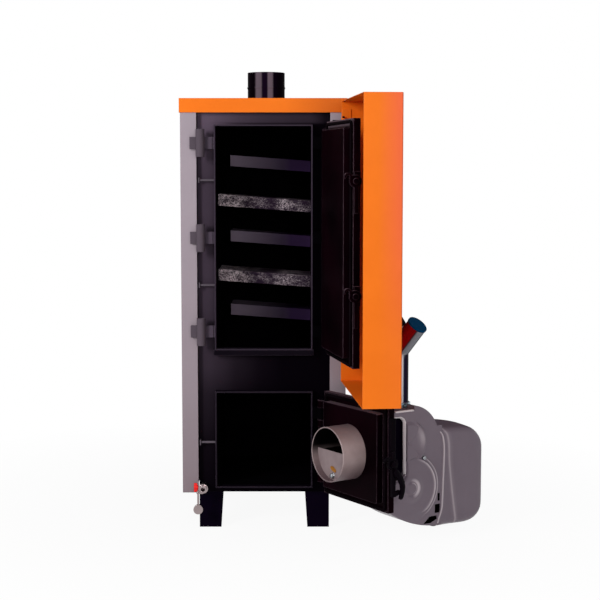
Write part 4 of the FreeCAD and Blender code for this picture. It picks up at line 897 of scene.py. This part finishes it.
def make_rope(name, node, body, low, high, hinge, turn):
    """low and high are the lower and the upper edge of the collar."""
    mid, deep = (ROPE_BACK + ROPE_FRONT) / 2, (ROPE_FRONT - ROPE_BACK) / 2
    line = rope_line(low + ROPE_INSET, high - ROPE_INSET)
    gone = 0.0
    rings = []
    for i, (x, z, dx, dz) in enumerate(line):
        gone += math.dist((x, z), line[i - 1][:2]) if i else 0.0
        twist = 2.0 * math.pi * gone / ROPE_PITCH
        ring = []
        for k in range(ROPE_POINTS):
            a = 2.0 * math.pi * k / ROPE_POINTS
            lobe = 1.0 - STRAND_DEPTH + STRAND_DEPTH * math.cos(ROPE_STRANDS * a - twist)
            side, rise = ROPE_WIDE * lobe * math.cos(a), deep * lobe * math.sin(a)
            ring.append(opened(x + dx * side, mid + rise, z + dz * side, hinge, turn))
        rings.append(ring)
    rings.append(rings[0])
    obj = piece(name, rings, skin(rings), "seal_rope", body)
    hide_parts(node)


# mineral wool: felted batts in place of the plain blocks, in metres

JACKET_CELL, DOOR_CELL = 0.016, 0.010
TUFT_SIZE, TUFT_DEPTH, TUFT_LEVEL = 0.03, 0.004, 1.8


def make_batt(name, node, body, cell):
    mesh = nodes[node].data.copy()
    mesh.name = name
    obj = bpy.data.objects.new(name, mesh)
    obj.matrix_world = nodes[node].matrix_world.copy()
    bpy.context.scene.collection.objects.link(obj)
    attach(obj, body)
    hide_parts(node)
    felt = obj.modifiers.new("felt", "REMESH")
    felt.mode = "VOXEL"
    felt.voxel_size = cell
    fibre = bpy.data.textures.new(name, "CLOUDS")
    fibre.noise_scale = TUFT_SIZE
    tuft = obj.modifiers.new("tufts", "DISPLACE")
    tuft.texture = fibre
    tuft.texture_coords = "LOCAL"
    tuft.mid_level = TUFT_LEVEL
    tuft.strength = TUFT_DEPTH


# igniter window on the plate in the burner mouth: a rounded slot with a raised edge, leaning a little

WINDOW, WINDOW_LEAN, WINDOW_POINTS = (-2.0, 289.0), math.radians(20.0), 32
WINDOW_ENDS, WINDOW_SIDES = 0.6, 0.8
WINDOW_ROWS = ((17.5, 7.4, 0.0), (17.7, 7.6, 1.4), (17.0, 7.0, 2.2), (16.0, 6.0, 2.2), (15.2, 5.2, 1.3),
               (7.0, 2.4, 1.1), (0.6, 0.4, 1.0))


def pushed_out(value, power):
    """A sine or cosine pushed out to the corners."""
    return math.copysign(abs(value) ** power, value)


def make_igniter_window():
    """WINDOW_ROWS holds half the length, half the height and the rise of each ring."""
    rings = []
    for half, tall, rise in WINDOW_ROWS:
        ring = []
        for k in range(WINDOW_POINTS):
            a = 2.0 * math.pi * k / WINDOW_POINTS
            along = half * pushed_out(math.cos(a), WINDOW_ENDS)
            up = tall * pushed_out(math.sin(a), WINDOW_SIDES)
            x = WINDOW[0] + along * math.cos(WINDOW_LEAN) - up * math.sin(WINDOW_LEAN)
            z = WINDOW[1] + along * math.sin(WINDOW_LEAN) + up * math.cos(WINDOW_LEAN)
            ring.append(on_plate(x, rise, z))
        rings.append(ring)
    piece("igniter_window", rings, skin(rings, last=True), "igniter_ceramic", "lower_door")


# heads of the housing's screw and of the plate's bolt: a chamfered hexagon on its washer

SCREW, SCREW_RADIUS, SCREW_TALL = (203.5, 312.3), 8.0, 17.0
BOLT_UP, BOLT_RADIUS, BOLT_TALL = 265.5, 9.9, 9.6
HEAD_POINTS = 36
HEAD_ROWS = ((1.07, 0.0, 0.0), (1.07, 0.17, 0.0), (1.0, 0.18, 1.0), (1.0, 0.82, 1.0), (0.89, 0.98, 0.6),
             (0.5, 1.0, 0.0), (0.05, 0.99, 0.0))


def hex_head(name, at, radius, tall, slot, finish):
    """at turns across, up and rise into a place.

    HEAD_ROWS holds the width and the rise of each ring, and how far it is a hexagon."""
    rings = []
    for wide, rise, hexagon in HEAD_ROWS:
        ring = []
        for k in range(HEAD_POINTS):
            a = 2.0 * math.pi * k / HEAD_POINTS
            flat = math.cos(math.pi / 6) / math.cos((a % (math.pi / 3)) - math.pi / 6)
            r = radius * wide * (1.0 - hexagon + hexagon * flat)
            ring.append(at(r * math.cos(a), r * math.sin(a), rise * tall))
        rings.append(ring)
    return piece(name, rings, skin(rings, last=True), slot, "lower_door", finish)


def on_screw(across, up, rise):
    return on_lower(SIDE - rise, SCREW[0] + across, SCREW[1] + up)


def on_bolt(across, up, rise):
    return on_plate(across, rise, BOLT_UP + up)


make_hood()
make_fan_cover()
make_boss_crown()
make_recess_trim()
make_rope("inner_rope_twist", "inner_door_rope", "inner_door", *UPPER_COLLAR, INNER_HINGE, INNER_TURN)
make_rope("lower_rope_twist", "lower_door_rope", "lower_door", *LOWER_COLLAR, LOWER_HINGE, LOWER_TURN)
make_batt("jacket_batt", "jacket_wool", "boiler", JACKET_CELL)
make_batt("inner_door_batt", "inner_door_wool", "inner_door", DOOR_CELL)
make_batt("lower_door_batt", "lower_door_wool", "lower_door", DOOR_CELL)
make_igniter_window()
make_notch_trim()
make_latch_grip()
screw_head = hex_head("housing_screw_head", on_screw, SCREW_RADIUS, SCREW_TALL, "zinc_screws", "bolt_zinc")
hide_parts("burner_screws")
hex_head("plate_bolt_head", on_bolt, BOLT_RADIUS, BOLT_TALL, "burner_steel", "bolt_zinc")

# stage, light and camera, in metres

FLOOR_REACH = 30.0
FLOOR_GREY = (0.86, 0.86, 0.86, 1.0)
WHITE = (1.0, 1.0, 1.0, 1.0)
AMBIENT = 0.22
MIDDLE = (0.3, -0.4, 0.8)
# name, place, target, size and power of each lamp
LAMPS = (
    ("key", (-3.18, -4.31, 2.6), (0.1, -0.4, 0.8), (0.9, 1.9), 172.0),
    ("fill", (3.0, -4.6, 2.0), MIDDLE, (1.4, 2.0), 14.0),
    ("front", (0.9, -5.8, 1.9), MIDDLE, (0.7, 0.9), 46.0),
    ("top", (-0.3, -1.6, 4.4), (0.2, -0.4, 0.0), (3.0, 3.0), 12.0),
)
PHOTO_WIDE, FOCAL_PIXELS, SENSOR = 600.0, 1373.0, 36.0
CAMERA_X, CAMERA_AWAY, CAMERA_UP, CAMERA_DIP = 0.137, 5.150, 1.366, 5.41
CAMERA_REACH = 100.0


def seen(tree):
    """One for camera, glossy and transmitted rays."""
    path = tree.nodes.new("ShaderNodeLightPath")
    total = path.outputs["Is Camera Ray"]
    for other in ("Is Glossy Ray", "Is Transmission Ray"):
        total = joined(tree, "MAXIMUM", total, path.outputs[other])
    return total


def stage_material(name):
    """White where nothing shades it; the shadow near the object stays."""
    tree, surface = blank_material(name)
    lit = tree.nodes.new("ShaderNodeBsdfDiffuse")
    lit.inputs["Color"].default_value = FLOOR_GREY
    glow = tree.nodes.new("ShaderNodeEmission")
    glow.inputs["Color"].default_value = WHITE
    coord = tree.nodes.new("ShaderNodeTexCoord")
    far = tree.nodes.new("ShaderNodeVectorMath")
    far.operation = "LENGTH"
    tree.links.new(coord.outputs["Object"], far.inputs[0])
    level = span(tree, far.outputs["Value"], low=0.93, high=1.0, start=0.5, end=2.0)
    mix = tree.nodes.new("ShaderNodeMixShader")
    tree.links.new(joined(tree, "MULTIPLY", seen(tree), level), mix.inputs["Fac"])
    tree.links.new(lit.outputs["BSDF"], mix.inputs[1])
    tree.links.new(glow.outputs["Emission"], mix.inputs[2])
    tree.links.new(mix.outputs["Shader"], surface)


def floor():
    mesh = bpy.data.meshes.new("studio_floor")
    corners = [(x * FLOOR_REACH, y * FLOOR_REACH, 0) for x, y in ((-1, -1), (1, -1), (1, 1), (-1, 1))]
    mesh.from_pydata(corners, [], [(0, 1, 2, 3)])
    obj = bpy.data.objects.new("studio_floor", mesh)
    bpy.context.scene.collection.objects.link(obj)
    stage_material("studio_white")
    mesh.materials.append(MATERIALS["studio_white"])


def world():
    scene = bpy.context.scene
    scene.world = bpy.data.worlds.new("studio")
    scene.world.use_nodes = True
    tree = scene.world.node_tree
    tree.nodes.clear()
    out = tree.nodes.new("ShaderNodeOutputWorld")
    back = tree.nodes.new("ShaderNodeBackground")
    back.inputs["Color"].default_value = WHITE
    tree.links.new(span(tree, seen(tree), low=AMBIENT, high=1.0), back.inputs["Strength"])
    tree.links.new(back.outputs["Background"], out.inputs["Surface"])


def lamp(name, spot, target, size, power):
    light = bpy.data.lights.new(name, "AREA")
    light.shape = "RECTANGLE"
    light.size, light.size_y = size
    light.energy = power
    obj = bpy.data.objects.new(name, light)
    obj.location = spot
    aim = Vector(target) - Vector(spot)
    obj.rotation_euler = aim.to_track_quat("-Z", "Y").to_euler()
    bpy.context.scene.collection.objects.link(obj)


def camera():
    cam = bpy.data.cameras.new("photo_camera")
    cam.sensor_width = SENSOR
    cam.sensor_fit = "HORIZONTAL"
    cam.lens = FOCAL_PIXELS * SENSOR / PHOTO_WIDE
    cam.clip_end = CAMERA_REACH
    obj = bpy.data.objects.new("photo_camera", cam)
    obj.location = (CAMERA_X, FRONT - CAMERA_AWAY, CAMERA_UP)
    obj.rotation_euler = (math.radians(90.0 - CAMERA_DIP), 0.0, 0.0)
    bpy.context.scene.collection.objects.link(obj)
    bpy.context.scene.camera = obj


floor()
world()
for row in LAMPS:
    lamp(*row)
camera()
bpy.context.scene.view_settings.view_transform = "Standard"
